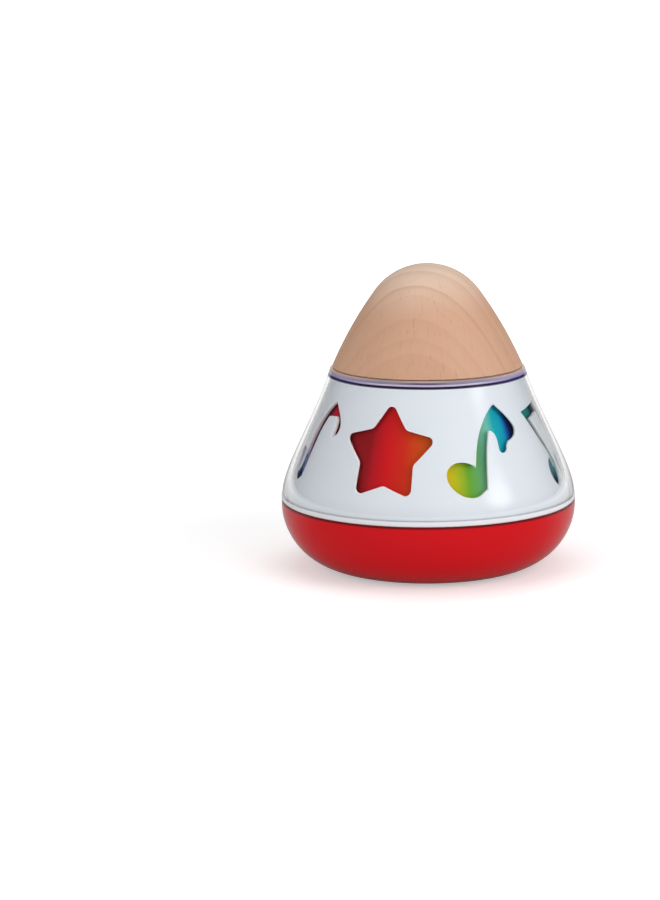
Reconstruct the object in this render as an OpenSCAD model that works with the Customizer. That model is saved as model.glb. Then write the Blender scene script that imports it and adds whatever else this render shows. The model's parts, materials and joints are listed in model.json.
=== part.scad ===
// Wind-up music box: twisting the wooden top winds a spring motor, and as it runs down
// the top and a rainbow drum turn together behind a white sleeve with star and note cut-outs.
// Lengths are millimetres. The table is z = 0 and the front faces -Y.

/* [Base bowl] */
// Radius at the seam, the widest place
rim_r = 60; // [59:0.5:66]
// Height of the seam above the table
seam_z = 28; // [26:1:34]
// Wall of the bowl
bowl_wall = 2.2; // [1.6:0.1:2.8]
// Straight band under the rim
bowl_band = 1.5; // [0.5:0.1:3]
// Radius of the circle of screw bosses
boss_circle_r = 28; // [26:0.5:31]
// Radius of a screw boss
boss_r = 4.5; // [4.2:0.1:5.2]
// Height of a boss above the bowl's floor
boss_h = 8; // [7:0.5:10]
// Number of screw bosses
boss_n = 4; // [3:1:5]

/* [Chassis] */
// Thickness of the chassis plate
chassis_t = 2.5; // [2:0.1:3.5]
// Gap between the chassis edge and the bowl
chassis_gap = 0.3; // [0.2:0.05:0.6]
// Radius of the opening for the spring motor
chassis_hole_r = 22.5; // [22:0.5:24]

/* [Clear shell] */
// Height of the shell above the seam
shell_h = 54; // [50:1:60]
// Horizontal wall of the shell
shell_wall = 1.6; // [1.4:0.1:2.4]
// Thickness of the shell's roof
roof_t = 1.8; // [1.4:0.1:2.4]
// Radius of the shell at its top
shell_top_r = 39.45; // [38:0.05:42]
// Height of the foot flange
flange_h = 2.1; // [1.5:0.1:3]
// How far the wall steps in above the flange
flange_step = 0.35; // [0.2:0.05:0.6]
// Shadow groove between the flange and the bowl, height and depth
groove = 0.45; // [0.2:0.05:0.8]
// Upright stretch of the wall's curve at the foot
shell_belly = 10.6; // [8:0.1:13]
// How far the wall's curve leans out below the top
shoulder_out = 6.5; // [5.5:0.1:8]
// How far below the top the wall's curve straightens
shoulder_drop = 20.9; // [18:0.1:24]
// Rounding of the edge between wall and roof
shell_round = 0.7; // [0.3:0.1:1]

/* [White sleeve] */
// Wall of the sleeve
sleeve_wall = 1.2; // [1:0.1:2]
// Gap between the sleeve and the shell at foot and top
sleeve_gap = 0.4; // [0.4:0.05:0.8]
// Height of the sleeve's upright foot
sleeve_foot_h = 3; // [2:0.1:4]
// Gap between the sleeve's top and the shell's roof
sleeve_top_gap = 1.3; // [0.2:0.05:1.5]

/* [Cut-outs] */
// Figures round the sleeve
figure_n = 8; // [4:4:8]
// Bearing of the first star from the front, degrees
figure_start = -19.5; // [-30:0.5:0]
// How far the second single note of each half sits back from its even place, degrees
note_back = 5; // [0:0.5:6]
// Height of the star's centre above the seam
star_z = 25.9; // [24:0.1:28]
// Radius of the star to its rounded tips
star_r = 18; // [15:0.1:19]
// Radius of the star's inner corners
star_inner_r = 11.6; // [9:0.1:12]
// Rounding of the star's tips
star_round = 2.2; // [1:0.1:2.5]
// Half width of the note's head
head_a = 8; // [6:0.1:9]
// Half height of the note's head
head_b = 6.3; // [5:0.1:7]

/* [Rainbow drum] */
// Level gap between the drum and the sleeve
drum_gap = 1.6; // [1.2:0.1:5]
// Wall of the drum
drum_wall = 1.2; // [1:0.1:1.8]
// Gap between the drum's foot and the chassis
drum_foot_gap = 2; // [1:0.1:4]
// Thickness of the carrier plate
carrier_t = 2.4; // [2:0.1:3]
// Thickness of the drum's top lip
lip_t = 1.2; // [1:0.1:2]

/* [Wooden top] */
// Height of the wooden top
wood_h = 41.5; // [36:0.5:46]
// How far the wood's foot is set in from the shell
wood_inset = 0.75; // [0.4:0.05:2]
// Radius of the rounded crown
crown_r = 26.2; // [24:0.1:28]
// Radius of the bulge of the sides
side_r = 165; // [140:5:220]
// Gap between the wood and the shell
wood_gap = 0.4; // [0.3:0.05:0.8]
// Bevel round the wood's foot
wood_bevel = 0.6; // [0.3:0.1:1.2]
// Depth of the socket under the wood
socket_depth = 2; // [1.5:0.1:3]
// Radius of the journal that runs in the top bush
journal_r = 13; // [12:0.5:14]
// Wall of the top bush
bush_wall = 3; // [2:0.1:4]
// Radius of the circle of top screws
top_screw_circle = 8.4; // [7.5:0.1:8.6]
// Length of the top screws in the wood
wood_screw_len = 13; // [10:0.5:16]

/* [Musical movement] */
// Thickness of the bed plate
bed_t = 2; // [1.6:0.1:3]
// Gap between the bed plate and the drum
bed_gap = 4; // [3:0.1:5]
// Teeth of the crown wheel
crown_n = 40; // [40:1:44]
// Teeth of the cylinder pinion
pinion_n = 12; // [12:1:14]
// Module of the crown wheel and its pinion
crown_m = 0.65; // [0.6:0.01:0.68]
// Teeth of the cylinder gear
gear_n = 40; // [38:1:42]
// Teeth of the governor pinion
gov_n = 10; // [10:1:12]
// Teeth of the worm wheel
worm_wheel_n = 20; // [18:1:22]
// Module of the governor train
gov_m = 0.5; // [0.48:0.01:0.52]
// Radius of the musical cylinder
cyl_r = 5.5; // [5:0.1:5.7]
// Height of the cylinder's pins
pin_h = 0.8; // [0.5:0.05:0.9]
// Radius of a cylinder pin
pin_r = 0.25; // [0.2:0.01:0.3]
// Notes of the comb
note_n = 18; // [14:1:18]
// Spacing of the comb's teeth
note_pitch = 0.85; // [0.8:0.01:0.9]
// Width of a comb tooth
tine_w = 0.55; // [0.45:0.01:0.62]
// Length of the longest comb tooth
tine_long = 10; // [9:0.1:11]
// Length of the shortest comb tooth
tine_short = 6; // [5:0.1:7]
// Radius of the winding arbor
arbor_r = 2.5; // [2.2:0.1:2.8]
// Inner radius of the spring housing
spring_r = 13.8; // [12.5:0.1:14.5]
// Depth of the spring housing
housing_h = 14; // [12:0.5:16]
// Turns of the main spring
spring_turns = 7; // [5:1:9]
// Thickness of the spring strip
spring_t = 0.45; // [0.3:0.05:0.6]
// Radius of the air brake's wings
fan_r = 4; // [3:0.1:4.2]

/* [Fits] */
// Running clearance of shafts and journals
run = 0.05; // [0.03:0.01:0.08]
// Clearance round pieces that are fixed in place
seat = 0.03; // [0.02:0.01:0.06]
// End play of turning pieces
end_play = 0.15; // [0.1:0.05:0.3]
// Slack between gear teeth
backlash = 0.16; // [0.12:0.01:0.24]

/* [Hidden] */
$fn = 96;

// Cuts run past a face by over, and forms that grow together overlap by sink
over = 1;
sink = 0.5;

// Screws: shank radius, head radius, head height and slot width
base_screw = [1.5, 2.8, 2, 0.8];
small_screw = [1, 1.9, 1.3, 0.5];
tiny_screw = [0.8, 1.5, 1, 0.5];
shank_slack = 0.1;
head_slack = 0.3;
screw_short = 0.3;

// Heights
bowl_r = seam_z - bowl_band;
foot_r = rim_r - bowl_r;
shell_top = seam_z + shell_h;
roof_z = shell_top - roof_t;
sleeve_top = roof_z - sleeve_top_gap;
boss_top = bowl_wall + boss_h;
bed_top = seam_z + bed_t;
chassis_z = seam_z - chassis_t;

// Base screws and the pillars that they hold
base_screw_len = 11;
counterbore = 5.5;
pillar_step = 0.5;
pillar_hole = base_screw_len + counterbore - boss_top + over;

// Outline helpers
function polar(r, a) = r * [cos(a), sin(a)];
function turned(p, a) = [p[0] * cos(a) - p[1] * sin(a), p[0] * sin(a) + p[1] * cos(a)];
function arc(c, r, from, to, n) = [for (i = [0 : n]) c + polar(r, from + (to - from) * i / n)];
function mix3(a, b, c, t) = (1 - t) * (1 - t) * a + 2 * t * (1 - t) * b + t * t * c;
function bend(a, b, c, n) = [for (i = [0 : n]) mix3(a, b, c, i / n)];
function oval(c, a, b, turn, n) = [
  for (i = [0 : n - 1]) c + turned([a * cos(360 * i / n), b * sin(360 * i / n)], turn)
];

// Shell wall: one cubic curve from the flange to the roof, heights above the seam
function cubic(a, b, c, d, t) =
  pow(1 - t, 3) * a + 3 * pow(1 - t, 2) * t * b + 3 * (1 - t) * t * t * c + pow(t, 3) * d;
shell_foot = [rim_r - flange_step, flange_h];
shell_end = [shell_top_r, shell_h];
shell_steps = 24;
function shell_at(t) = cubic(
  shell_foot, shell_foot + [0, shell_belly], shell_end + [shoulder_out, -shoulder_drop], shell_end, t);
function shell_t(z, lo = 0, hi = 1, n = 24) = let (m = (lo + hi) / 2)
  n == 0 ? m : shell_at(m)[1] < z ? shell_t(z, m, hi, n - 1) : shell_t(z, lo, m, n - 1);
function shell_r(z) = shell_at(shell_t(z))[0];

// Sleeve and drum: straight cones, heights above the seam
sleeve_foot_r = rim_r - flange_step - shell_wall - sleeve_gap;
sleeve_top_r = shell_r(sleeve_top - seam_z) - shell_wall - sleeve_gap;
sleeve_slope = (sleeve_foot_r - sleeve_top_r) / (sleeve_top - seam_z - sleeve_foot_h);
sleeve_level = sleeve_wall * sqrt(1 + sleeve_slope * sleeve_slope);
drum_level = drum_wall * sqrt(1 + sleeve_slope * sleeve_slope);
function sleeve_r(h) = sleeve_foot_r - sleeve_slope * (h - sleeve_foot_h);
function drum_r(h) = sleeve_r(h) - sleeve_level - drum_gap;

// Top of the turning part
bush_r = journal_r + run;
bush_hole_r = bush_r + bush_wall;
bush_flange_w = 2.5;
bush_flange_r = bush_hole_r + bush_flange_w;
bush_flange_t = 0.8;
shoulder_w = 0.5;
shoulder_r = bush_flange_r + shoulder_w;
shoulder_top = roof_z - bush_flange_t - end_play;
lip_drop = 0.2;
lip_top = shoulder_top - lip_drop;
carrier_top = lip_top - lip_t;
carrier_z = carrier_top - carrier_t;
wood_z = shell_top + wood_gap;
journal_top = wood_z + socket_depth;
wood_foot_r = shell_top_r - wood_inset;
bevel_lean = 0.35;
top_screw_n = 3;
top_screw_start = 30;
top_screw_depth = 2.2;
top_screw_z = carrier_z + top_screw_depth;

// Winding arbor, with a square end that drives the carrier
square_step = 0.1;
arbor_square = sqrt(2) * (arbor_r - square_step);
arbor_recess = 2.2;
arbor_recess_slack = 0.8;
arbor_top = journal_top - arbor_recess;
arbor_screw_len = 5;
pivot_step = 0.5;
pivot_r = arbor_r - pivot_step;

// Spring motor, hung under the bed plate
housing_wall = 1.2;
housing_r = spring_r + housing_wall;
housing_z = seam_z - housing_h;
spring_z = housing_z + housing_wall;
collet_wall = 1.5;
collet_r = arbor_r + collet_wall;
collet_z = spring_z + end_play;
collet_gap = 1.3;
spring_slack = 0.1;
spring_end_gap = 0.6;
ear_n = 3;
ear_start = 60;
ear_r = 3;
ear_t = 2;
ear_reach = 2.6;
ear_circle_r = housing_r + ear_reach;
arbor_bush_r = collet_r + 1;
arbor_bush_flange_r = arbor_bush_r + 1;
arbor_bush_flange_t = 0.5;

// Movement: the cylinder lies along +X, level with the governor arbor
addendum = 0.8;
dedendum = 1.1;
pressure = 25;
centre_slack = 0.05;
gear_clear = 0.6;
side_gap = 0.8;
shaft_end = 0.5;
lightening_r = 2;
crown_wheel_r = crown_m * crown_n / 2;
pinion_pitch_r = crown_m * pinion_n / 2;
gear_pitch_r = gov_m * gear_n / 2;
gov_pitch_r = gov_m * gov_n / 2;
cyl_z = bed_top + gear_pitch_r + addendum * gov_m + gear_clear;
crown_z = cyl_z - pinion_pitch_r - centre_slack;
pinion_w = 2;
pinion_x = crown_wheel_r - pinion_w / 2;
post_t = 2;
post_half = 4.5;
post_x = pinion_x + pinion_w + side_gap;
cyl_x = post_x + post_t + side_gap;
cyl_margin = 0.35;
cyl_len = note_n * note_pitch + 2 * cyl_margin;
gear_w = 1.6;
gear_x = cyl_x + cyl_len;
outer_post_x = gear_x + gear_w + side_gap;
shaft_r = 1.2;
shaft_bush_r = 2.2;
function note_x(i) = cyl_x + cyl_margin + (i + 0.5) * note_pitch;

// Governor: its arbor lies beside the cylinder, and its worm stands upright
gov_y = gear_pitch_r + gov_pitch_r + centre_slack;
gov_shaft_r = 0.8;
cheek_t = 1.2;
frame_foot_t = 1.2;
frame_half = 2.6;
worm_wheel_w = 1.8;
worm_wheel_r = gov_m * worm_wheel_n / 2;
worm_wheel_x = gear_x - 2 * worm_wheel_w - side_gap;
cheek_x = worm_wheel_x - side_gap - cheek_t;
worm_pitch_r = 2;
worm_lead = PI * gov_m;
worm_turns = 4.5;
worm_len = worm_turns * worm_lead;
worm_x = worm_wheel_x + worm_wheel_w / 2;
worm_y = gov_y + worm_wheel_r + worm_pitch_r + centre_slack;
worm_z = cyl_z - worm_len / 2;
worm_shaft_r = 0.6;
worm_pivot = 1;
thread_crest = 30;
thread_foot = 105;
fan_lift = 1.4;
fan_z = bed_top + fan_lift;
fan_clear = 1.6;
fan_h = worm_z - fan_z - fan_clear;
fan_hub_r = 1.5;
fan_turn = 20;
wing_t = 0.5;
fan_gap = 0.6;
bridge_clear = 1;
bridge_z = worm_z + worm_len + bridge_clear;
bridge_t = 1.4;
bridge_y = worm_y + fan_r + fan_gap;
bridge_w = 3.6;
bridge_foot = 4.7;
bridge_nose = 2;

// Comb
comb_t = 1.2;
comb_side = 0.3;
tine_t = 0.5;
comb_gap = 0.15;
comb_tip_y = -(cyl_r + pin_h + comb_gap);
comb_depth = 8.5;
comb_root = 0.5;
comb_root_y = comb_tip_y - tine_long - comb_root;
comb_back_y = comb_root_y - comb_depth;
comb_top = cyl_z + tine_t / 2;
comb_seat_z = comb_top - comb_t;
comb_screw_in = 4;
comb_screw_grip = 5;
weight_h = 1.5;
weight_len = 1.8;
weight_back = 2.6;

// Bed plate and the places of its screws
bed_back = 28;
bed_half_y = 29;
bed_reach = drum_r(bed_t) - drum_level - bed_gap;
bed_screw_edge = 3;
bed_screw_y = 18;
bed_screw_front = 14;
bed_screw_out = 1.5;
bed_screw_past = 6.5;
bed_screw_spots = [
  [bed_screw_edge - bed_back, -bed_screw_y],
  [bed_screw_edge - bed_back, bed_screw_y],
  [outer_post_x + bed_screw_out, -bed_screw_front],
  [outer_post_x + bed_screw_out, gov_y + bed_screw_past]
];
gov_screw_grip = 1.6;
frame_screw_in = [3.4, 2.4];
frame_screw_spots = [[cheek_x + frame_screw_in[0], gov_y], [outer_post_x - frame_screw_in[1], gov_y]];
bridge_screw_in = 1.6;
bridge_screw_spot = [worm_x, bridge_y + bridge_t + bridge_screw_in];

// Places of the screws that come in rings, rows and spots
module at_bosses() {
  for (i = [0 : boss_n - 1]) rotate(45 + 360 * i / boss_n) translate([boss_circle_r, 0]) children();
}
module at_ears() {
  for (i = [0 : ear_n - 1]) rotate(ear_start + 360 * i / ear_n) translate([ear_circle_r, 0]) children();
}
module at_top_screws() {
  for (i = [0 : top_screw_n - 1]) {
    rotate(top_screw_start + 360 * i / top_screw_n) translate([top_screw_circle, 0]) children();
  }
}
module at_comb_screws() {
  for (x = [comb_screw_in, cyl_len - comb_screw_in]) {
    translate([cyl_x + x, comb_back_y + comb_depth / 2]) children();
  }
}
module at_spots(spots) {
  for (p = spots) translate([p[0], p[1]]) children();
}

// A bore along Z that runs past both ends of the stretch from z to z + h
module bore(r, z, h) translate([0, 0, z - over]) cylinder(r = r, h = h + 2 * over);

// A pan-head screw that points up, with the underside of its head at height z
module screw(size, z, len) translate([0, 0, z]) difference() {
  union() {
    translate([0, 0, -size[2]]) cylinder(r = size[1], h = size[2], $fn = 32);
    cylinder(r = size[0], h = len, $fn = 32);
  }
  translate([-size[1], -size[3] / 2, -size[2] - over]) cube([2 * size[1], size[3], over + size[2] / 2]);
}
module screw_down(size, z, len) translate([0, 0, z]) rotate([180, 0, 0]) screw(size, 0, len);

// Spur gear outline with a tooth on the +X axis
function roll(rb, r) = let (a = acos(min(1, rb / r))) tan(a) * 180 / PI - a;
function half_tooth(m, n, r) = let (rp = m * n / 2, rb = rp * cos(pressure))
  90 / n - backlash / 4 / rp * 180 / PI + roll(rb, rp) - roll(rb, max(r, rb));
module gear_outline(m, n) {
  rp = m * n / 2;
  rb = rp * cos(pressure);
  tip = rp + addendum * m;
  root = rp - dedendum * m;
  low = max(rb, root);
  steps = 3;
  radii = concat(low > root ? [root] : [], [for (i = [0 : steps]) low + (tip - low) * i / steps]);
  last = len(radii) - 1;
  polygon([
    for (k = [0 : n - 1]) each concat(
      [for (i = [0 : last]) polar(radii[i], 360 * k / n - half_tooth(m, n, radii[i]))],
      [for (i = [last : -1 : 0]) polar(radii[i], 360 * k / n + half_tooth(m, n, radii[i]))]
    )
  ]);
}

// Lays an outline in the YZ plane at x and extrudes it along +X
module along_x(x, y, z, w) translate([x, y, z]) rotate([90, 0, 90]) linear_extrude(w) children();
module rod_x(x, y, z, r, w) translate([x, y, z]) rotate([0, 90, 0]) cylinder(r = r, h = w, $fn = 48);

// Cut-out figures: x across the front, y above the seam
module star_figure() {
  points = 5;
  step = 360 / points;
  tip = [0, star_r - star_round];
  corner = polar(star_inner_r, 90 - step / 2);
  reach = norm(corner - tip);
  from = atan2(corner[1] - tip[1], corner[0] - tip[0]) + acos(star_round / reach);
  ray = concat(arc(tip, star_round, from, 180 - from, 6), [polar(star_inner_r, 90 + step / 2)]);
  translate([0, star_z]) polygon([for (i = [0 : points - 1], p = ray) turned(p, step * i)]);
}

// A quaver has a broad flag with a blunt tail, or a slim flag that ends in a point
module quaver_figure(slim = false) {
  head = [-7.7, 16.4];
  head_turn = -28;
  stem_foot = [0.4, 12.5];
  stem_back = [-2.6, 10.7];
  neck = [-3.4, 18.6];
  stem_bow = [-1.7, 35.2];
  stem_tip = slim ? [7.4, 42.7] : [8.2, 43.1];
  flag_tip = slim ? [8.2, 43] : [9.2, 43.4];
  flag_bow = slim ? [15.6, 36.8] : [17.6, 35.8];
  flag_side = slim ? [15.6, 33.4] : [17.7, 33];
  flag_turn = slim ? [15.6, 31.4] : [17.5, 29.8];
  flag_foot = slim ? [13.9, 30.3] : [13.3, 29.1];
  tail = slim ? [13.3, 30.1] : [10.2, 27];
  tail_r = slim ? 0.5 : 2;
  inner_foot = slim ? [12.7, 31] : [8.15, 28];
  inner_bow = slim ? [13, 38.4] : [8.2, 33];
  arch = slim ? [9.6, 37.5] : [5.6, 33.9];
  arch_end = slim ? [6.4, 37.2] : [5, 33.7];
  front_bow = slim ? [2.9, 32] : [3.2, 29.4];
  stem_front = [1.7, 20.8];
  polygon(oval(head, head_a, head_b, head_turn, 32));
  polygon(concat(
    [stem_foot, stem_back],
    bend(neck, stem_bow, stem_tip, 8),
    bend(flag_tip, flag_bow, flag_side, 6),
    bend(flag_side, flag_turn, flag_foot, 4),
    arc(tail, tail_r, 10, -170, 5),
    bend(inner_foot, inner_bow, arch, 4),
    bend(arch_end, front_bow, stem_front, 5)
  ));
}

module pair_figure() {
  lean = 0.55;
  beam_rise = 0.16;
  beam_left = [-9.8, 38.7];
  beam_len = 14.4;
  beam_t = 4;
  stem_w = 2.8;
  stem_len = 23;
  head = [4.7, 5.6];
  head_place = [-2.45, -2.3];
  head_turn = 12;
  beam_right = beam_left + [beam_len, beam_len * beam_rise];
  beam_drop = [beam_t * lean, -beam_t];
  polygon([beam_left, beam_right, beam_right + beam_drop, beam_left + beam_drop]);
  for (x = [0, beam_len - stem_w]) {
    top = beam_left + [x, x * beam_rise];
    foot = top + [stem_len * lean, -stem_len];
    polygon([top, top + [stem_w, stem_w * beam_rise], foot + [stem_w, 0], foot]);
    polygon(oval(foot + head_place, head[0], head[1], head_turn, 28));
  }
}

module base_bowl() color([0.80, 0.06, 0.09]) difference() {
  union() {
    rotate_extrude() difference() {
      union() {
        square([foot_r, seam_z]);
        translate([0, bowl_r]) square([rim_r, bowl_band]);
        intersection() {
          translate([foot_r, bowl_r]) circle(bowl_r);
          translate([foot_r, 0]) square(bowl_r);
        }
      }
      translate([0, bowl_wall]) square([foot_r, seam_z]);
      translate([0, bowl_r]) square([rim_r - bowl_wall, bowl_r]);
      intersection() {
        translate([foot_r, bowl_r]) circle(bowl_r - bowl_wall);
        translate([foot_r - sink, 0]) square(bowl_r + sink);
      }
    }
    at_bosses() translate([0, 0, bowl_wall - sink]) cylinder(r = boss_r, h = boss_h + sink);
  }
  at_bosses() {
    translate([0, 0, -over]) cylinder(r = base_screw[1] + head_slack, h = counterbore + over);
    bore(base_screw[0] + shank_slack, 0, boss_top);
  }
}

module base_screws() color("silver") at_bosses() screw(base_screw, counterbore, base_screw_len);

module chassis_plate() color([0.93, 0.93, 0.92]) difference() {
  union() {
    translate([0, 0, chassis_z]) cylinder(r = rim_r - bowl_wall - chassis_gap, h = chassis_t);
    at_bosses() translate([0, 0, boss_top]) {
      cylinder(r = boss_r - pillar_step, h = chassis_z - boss_top + sink);
    }
  }
  bore(chassis_hole_r, chassis_z, chassis_t);
  at_bosses() translate([0, 0, boss_top - over]) cylinder(r = base_screw[0] + seat, h = pillar_hole + over);
  at_spots(bed_screw_spots) bore(small_screw[0] + seat, chassis_z, chassis_t);
}

module clear_shell() color([0.85, 0.9, 0.95, 0.35]) translate([0, 0, seam_z]) rotate_extrude() {
  round_t = shell_t(shell_h - shell_round);
  wall = [for (i = [0 : shell_steps]) shell_at(round_t * i / shell_steps)];
  under = shell_h - roof_t;
  polygon(concat(
    [[rim_r - groove, 0], [rim_r - groove, groove], [rim_r, groove], [rim_r, flange_h]],
    [for (i = [0 : shell_steps - 1]) wall[i]],
    bend(wall[shell_steps], shell_end, shell_end - [shell_round, 0], 4),
    [[bush_hole_r + seat, shell_h], [bush_hole_r + seat, under], [shell_r(under) - shell_wall, under]],
    [for (i = [shell_steps : -1 : 0]) if (wall[i][1] < under) wall[i] - [shell_wall, 0]],
    [[shell_foot[0] - shell_wall, 0]]
  ));
}

module white_sleeve() color([0.87, 0.89, 0.92]) translate([0, 0, seam_z]) difference() {
  top = sleeve_top - seam_z;
  rotate_extrude() polygon([
    [sleeve_foot_r - sleeve_level, 0], [sleeve_foot_r, 0], [sleeve_foot_r, sleeve_foot_h],
    [sleeve_top_r, top], [sleeve_top_r - sleeve_level, top], [sleeve_foot_r - sleeve_level, sleeve_foot_h]
  ]);
  for (i = [0 : figure_n - 1]) {
    turn = figure_start + 360 * i / figure_n - (i % 4 == 3 ? note_back : 0);
    rotate(turn) rotate([90, 0, 0]) linear_extrude(rim_r) {
      if (i % 4 == 0) star_figure();
      else if (i % 4 == 2) pair_figure();
      else quaver_figure(i % 4 == 3);
    }
  }
}

module top_bush() color("ivory") difference() {
  union() {
    translate([0, 0, roof_z]) cylinder(r = bush_hole_r, h = roof_t);
    translate([0, 0, roof_z - bush_flange_t]) cylinder(r = bush_flange_r, h = bush_flange_t);
  }
  bore(bush_r, roof_z - bush_flange_t, roof_t + bush_flange_t);
}

// A side post that carries the cylinder shaft
module post(x) difference() {
  union() {
    rod_x(x, 0, cyl_z, post_half, post_t);
    translate([x, -post_half, bed_top - sink]) cube([post_t, 2 * post_half, cyl_z - bed_top + sink]);
  }
  rod_x(x - over, 0, cyl_z, shaft_bush_r + seat, post_t + 2 * over);
}

module bed_plate() color([0.72, 0.73, 0.75]) {
  difference() {
    union() {
      translate([0, 0, seam_z]) linear_extrude(bed_t) intersection() {
        circle(bed_reach);
        translate([-bed_back, -bed_half_y]) square([bed_back + bed_reach, 2 * bed_half_y]);
      }
      translate([cyl_x - comb_side, comb_back_y, bed_top - sink]) {
        cube([cyl_len + 2 * comb_side, comb_depth, comb_seat_z - bed_top + sink]);
      }
    }
    bore(arbor_bush_r + seat, seam_z, bed_t);
    at_spots(bed_screw_spots) bore(small_screw[0] + shank_slack, seam_z, bed_t);
    at_ears() bore(small_screw[0] + seat, seam_z, bed_t);
    at_spots(concat(frame_screw_spots, [bridge_screw_spot])) bore(tiny_screw[0] + seat, seam_z, bed_t);
    at_comb_screws() bore(small_screw[0] + seat, comb_seat_z - comb_screw_grip, comb_screw_grip);
    translate([worm_x, worm_y, bed_top - worm_pivot - end_play]) {
      cylinder(r = worm_shaft_r + run, h = worm_pivot + end_play + over, $fn = 48);
    }
  }
  post(post_x);
  post(outer_post_x);
}

module bed_screws() color("silver") {
  at_spots(bed_screw_spots) screw_down(small_screw, bed_top, bed_t + chassis_t - screw_short);
}

module arbor_bush() color([0.78, 0.6, 0.3]) difference() {
  union() {
    translate([0, 0, seam_z]) cylinder(r = arbor_bush_r, h = bed_t);
    translate([0, 0, bed_top]) cylinder(r = arbor_bush_flange_r, h = arbor_bush_flange_t);
  }
  bore(arbor_r + run, seam_z, bed_t + arbor_bush_flange_t);
}

module spring_housing() color([0.75, 0.76, 0.78]) difference() {
  union() {
    translate([0, 0, housing_z]) cylinder(r = housing_r, h = housing_h);
    at_ears() translate([0, 0, seam_z - ear_t]) {
      cylinder(r = ear_r, h = ear_t);
      translate([-ear_circle_r, -ear_r]) cube([ear_circle_r, 2 * ear_r, ear_t]);
    }
  }
  translate([0, 0, spring_z]) cylinder(r = spring_r, h = housing_h);
  bore(pivot_r + run, housing_z, housing_wall);
  at_ears() bore(small_screw[0] + shank_slack, seam_z - ear_t, ear_t);
}

module housing_screws() color("silver") {
  at_ears() screw(small_screw, seam_z - ear_t, ear_t + bed_t - screw_short);
}

// The strip leaves the collet and lies against the housing's wall after its last turn
module main_spring() color([0.45, 0.47, 0.55]) {
  inner = collet_r + spring_slack;
  outer = spring_r - spring_t - spring_slack;
  steps = 20;
  count = spring_turns * steps;
  path = [for (i = [0 : count]) [inner + (outer - inner) * i / count, 360 * i / steps]];
  translate([0, 0, spring_z + spring_end_gap]) {
    linear_extrude(housing_h - housing_wall - 2 * spring_end_gap) polygon(concat(
      [for (i = [0 : count]) polar(path[i][0], path[i][1])],
      [for (i = [count : -1 : 0]) polar(path[i][0] + spring_t, path[i][1])]
    ));
  }
}

module cylinder_bushes() color([0.78, 0.6, 0.3]) for (x = [post_x, outer_post_x]) difference() {
  rod_x(x, 0, cyl_z, shaft_bush_r, post_t);
  rod_x(x - over, 0, cyl_z, shaft_r + run, post_t + 2 * over);
}

// Tooth roots run on a slant, and the long bass teeth carry weights under their tips
module comb() color([0.62, 0.64, 0.68]) difference() {
  union() {
    translate([cyl_x - comb_side, comb_back_y, comb_seat_z]) {
      cube([cyl_len + 2 * comb_side, comb_depth, comb_t]);
    }
    for (i = [0 : note_n - 1]) {
      long = tine_long + (tine_short - tine_long) * i / (note_n - 1);
      root_y = comb_tip_y - long;
      translate([note_x(i) - tine_w / 2, root_y - sink, comb_top - tine_t]) {
        cube([tine_w, long + sink, tine_t]);
      }
      translate([note_x(i) - (note_pitch + seat) / 2, comb_root_y - sink, comb_top - tine_t]) {
        cube([note_pitch + seat, root_y - comb_root_y + sink, tine_t]);
      }
      if (i < note_n / 3) translate([note_x(i) - tine_w / 2, comb_tip_y - weight_back, comb_top - weight_h]) {
        cube([tine_w, weight_len, weight_h]);
      }
    }
  }
  at_comb_screws() bore(small_screw[0] + shank_slack, comb_seat_z, comb_t);
}

module comb_screws() color("silver") {
  at_comb_screws() screw_down(small_screw, comb_top, comb_t + comb_screw_grip);
}

module governor_frame() color([0.75, 0.62, 0.35]) difference() {
  cheeks = [cheek_x, outer_post_x];
  union() {
    translate([cheek_x, gov_y - frame_half, bed_top]) {
      cube([outer_post_x + cheek_t - cheek_x, 2 * frame_half, frame_foot_t]);
    }
    for (x = cheeks) {
      translate([x, gov_y - frame_half, bed_top]) cube([cheek_t, 2 * frame_half, cyl_z - bed_top]);
      rod_x(x, gov_y, cyl_z, frame_half, cheek_t);
    }
  }
  for (x = cheeks) rod_x(x - over, gov_y, cyl_z, gov_shaft_r + run, cheek_t + 2 * over);
  at_spots(frame_screw_spots) bore(tiny_screw[0] + shank_slack, bed_top, frame_foot_t);
}

module governor_bridge() color([0.75, 0.62, 0.35]) difference() {
  translate([worm_x - bridge_w / 2, 0, 0]) {
    translate([0, bridge_y, bed_top]) cube([bridge_w, bridge_foot, bridge_t]);
    translate([0, bridge_y, bed_top]) cube([bridge_w, bridge_t, bridge_z + bridge_t - bed_top]);
    translate([0, worm_y - bridge_nose, bridge_z]) {
      cube([bridge_w, bridge_y + bridge_t - worm_y + bridge_nose, bridge_t]);
    }
  }
  at_spots([[worm_x, worm_y]]) bore(worm_shaft_r + run, bridge_z, bridge_t);
  at_spots([bridge_screw_spot]) bore(tiny_screw[0] + shank_slack, bed_top, bridge_t);
}

module governor_screws() color("silver") {
  at_spots(frame_screw_spots) screw_down(tiny_screw, bed_top + frame_foot_t, frame_foot_t + gov_screw_grip);
  at_spots([bridge_screw_spot]) screw_down(tiny_screw, bed_top + bridge_t, bridge_t + gov_screw_grip);
}

// The crown's arc and the side's arc meet with one tangent
crown_c = [0, wood_h - crown_r];
wood_foot = [wood_foot_r, 0];
foot_way = (wood_foot - crown_c) / norm(wood_foot - crown_c);
arc_reach = (pow(side_r - crown_r, 2) - pow(side_r, 2) + pow(norm(wood_foot - crown_c), 2))
  / (2 * norm(wood_foot - crown_c));
arc_off = sqrt(pow(side_r - crown_r, 2) - pow(arc_reach, 2));
side_c = crown_c + foot_way * arc_reach + arc_off * [foot_way[1], -foot_way[0]];
meet = crown_c + (crown_c - side_c) / norm(crown_c - side_c) * crown_r;

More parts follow.
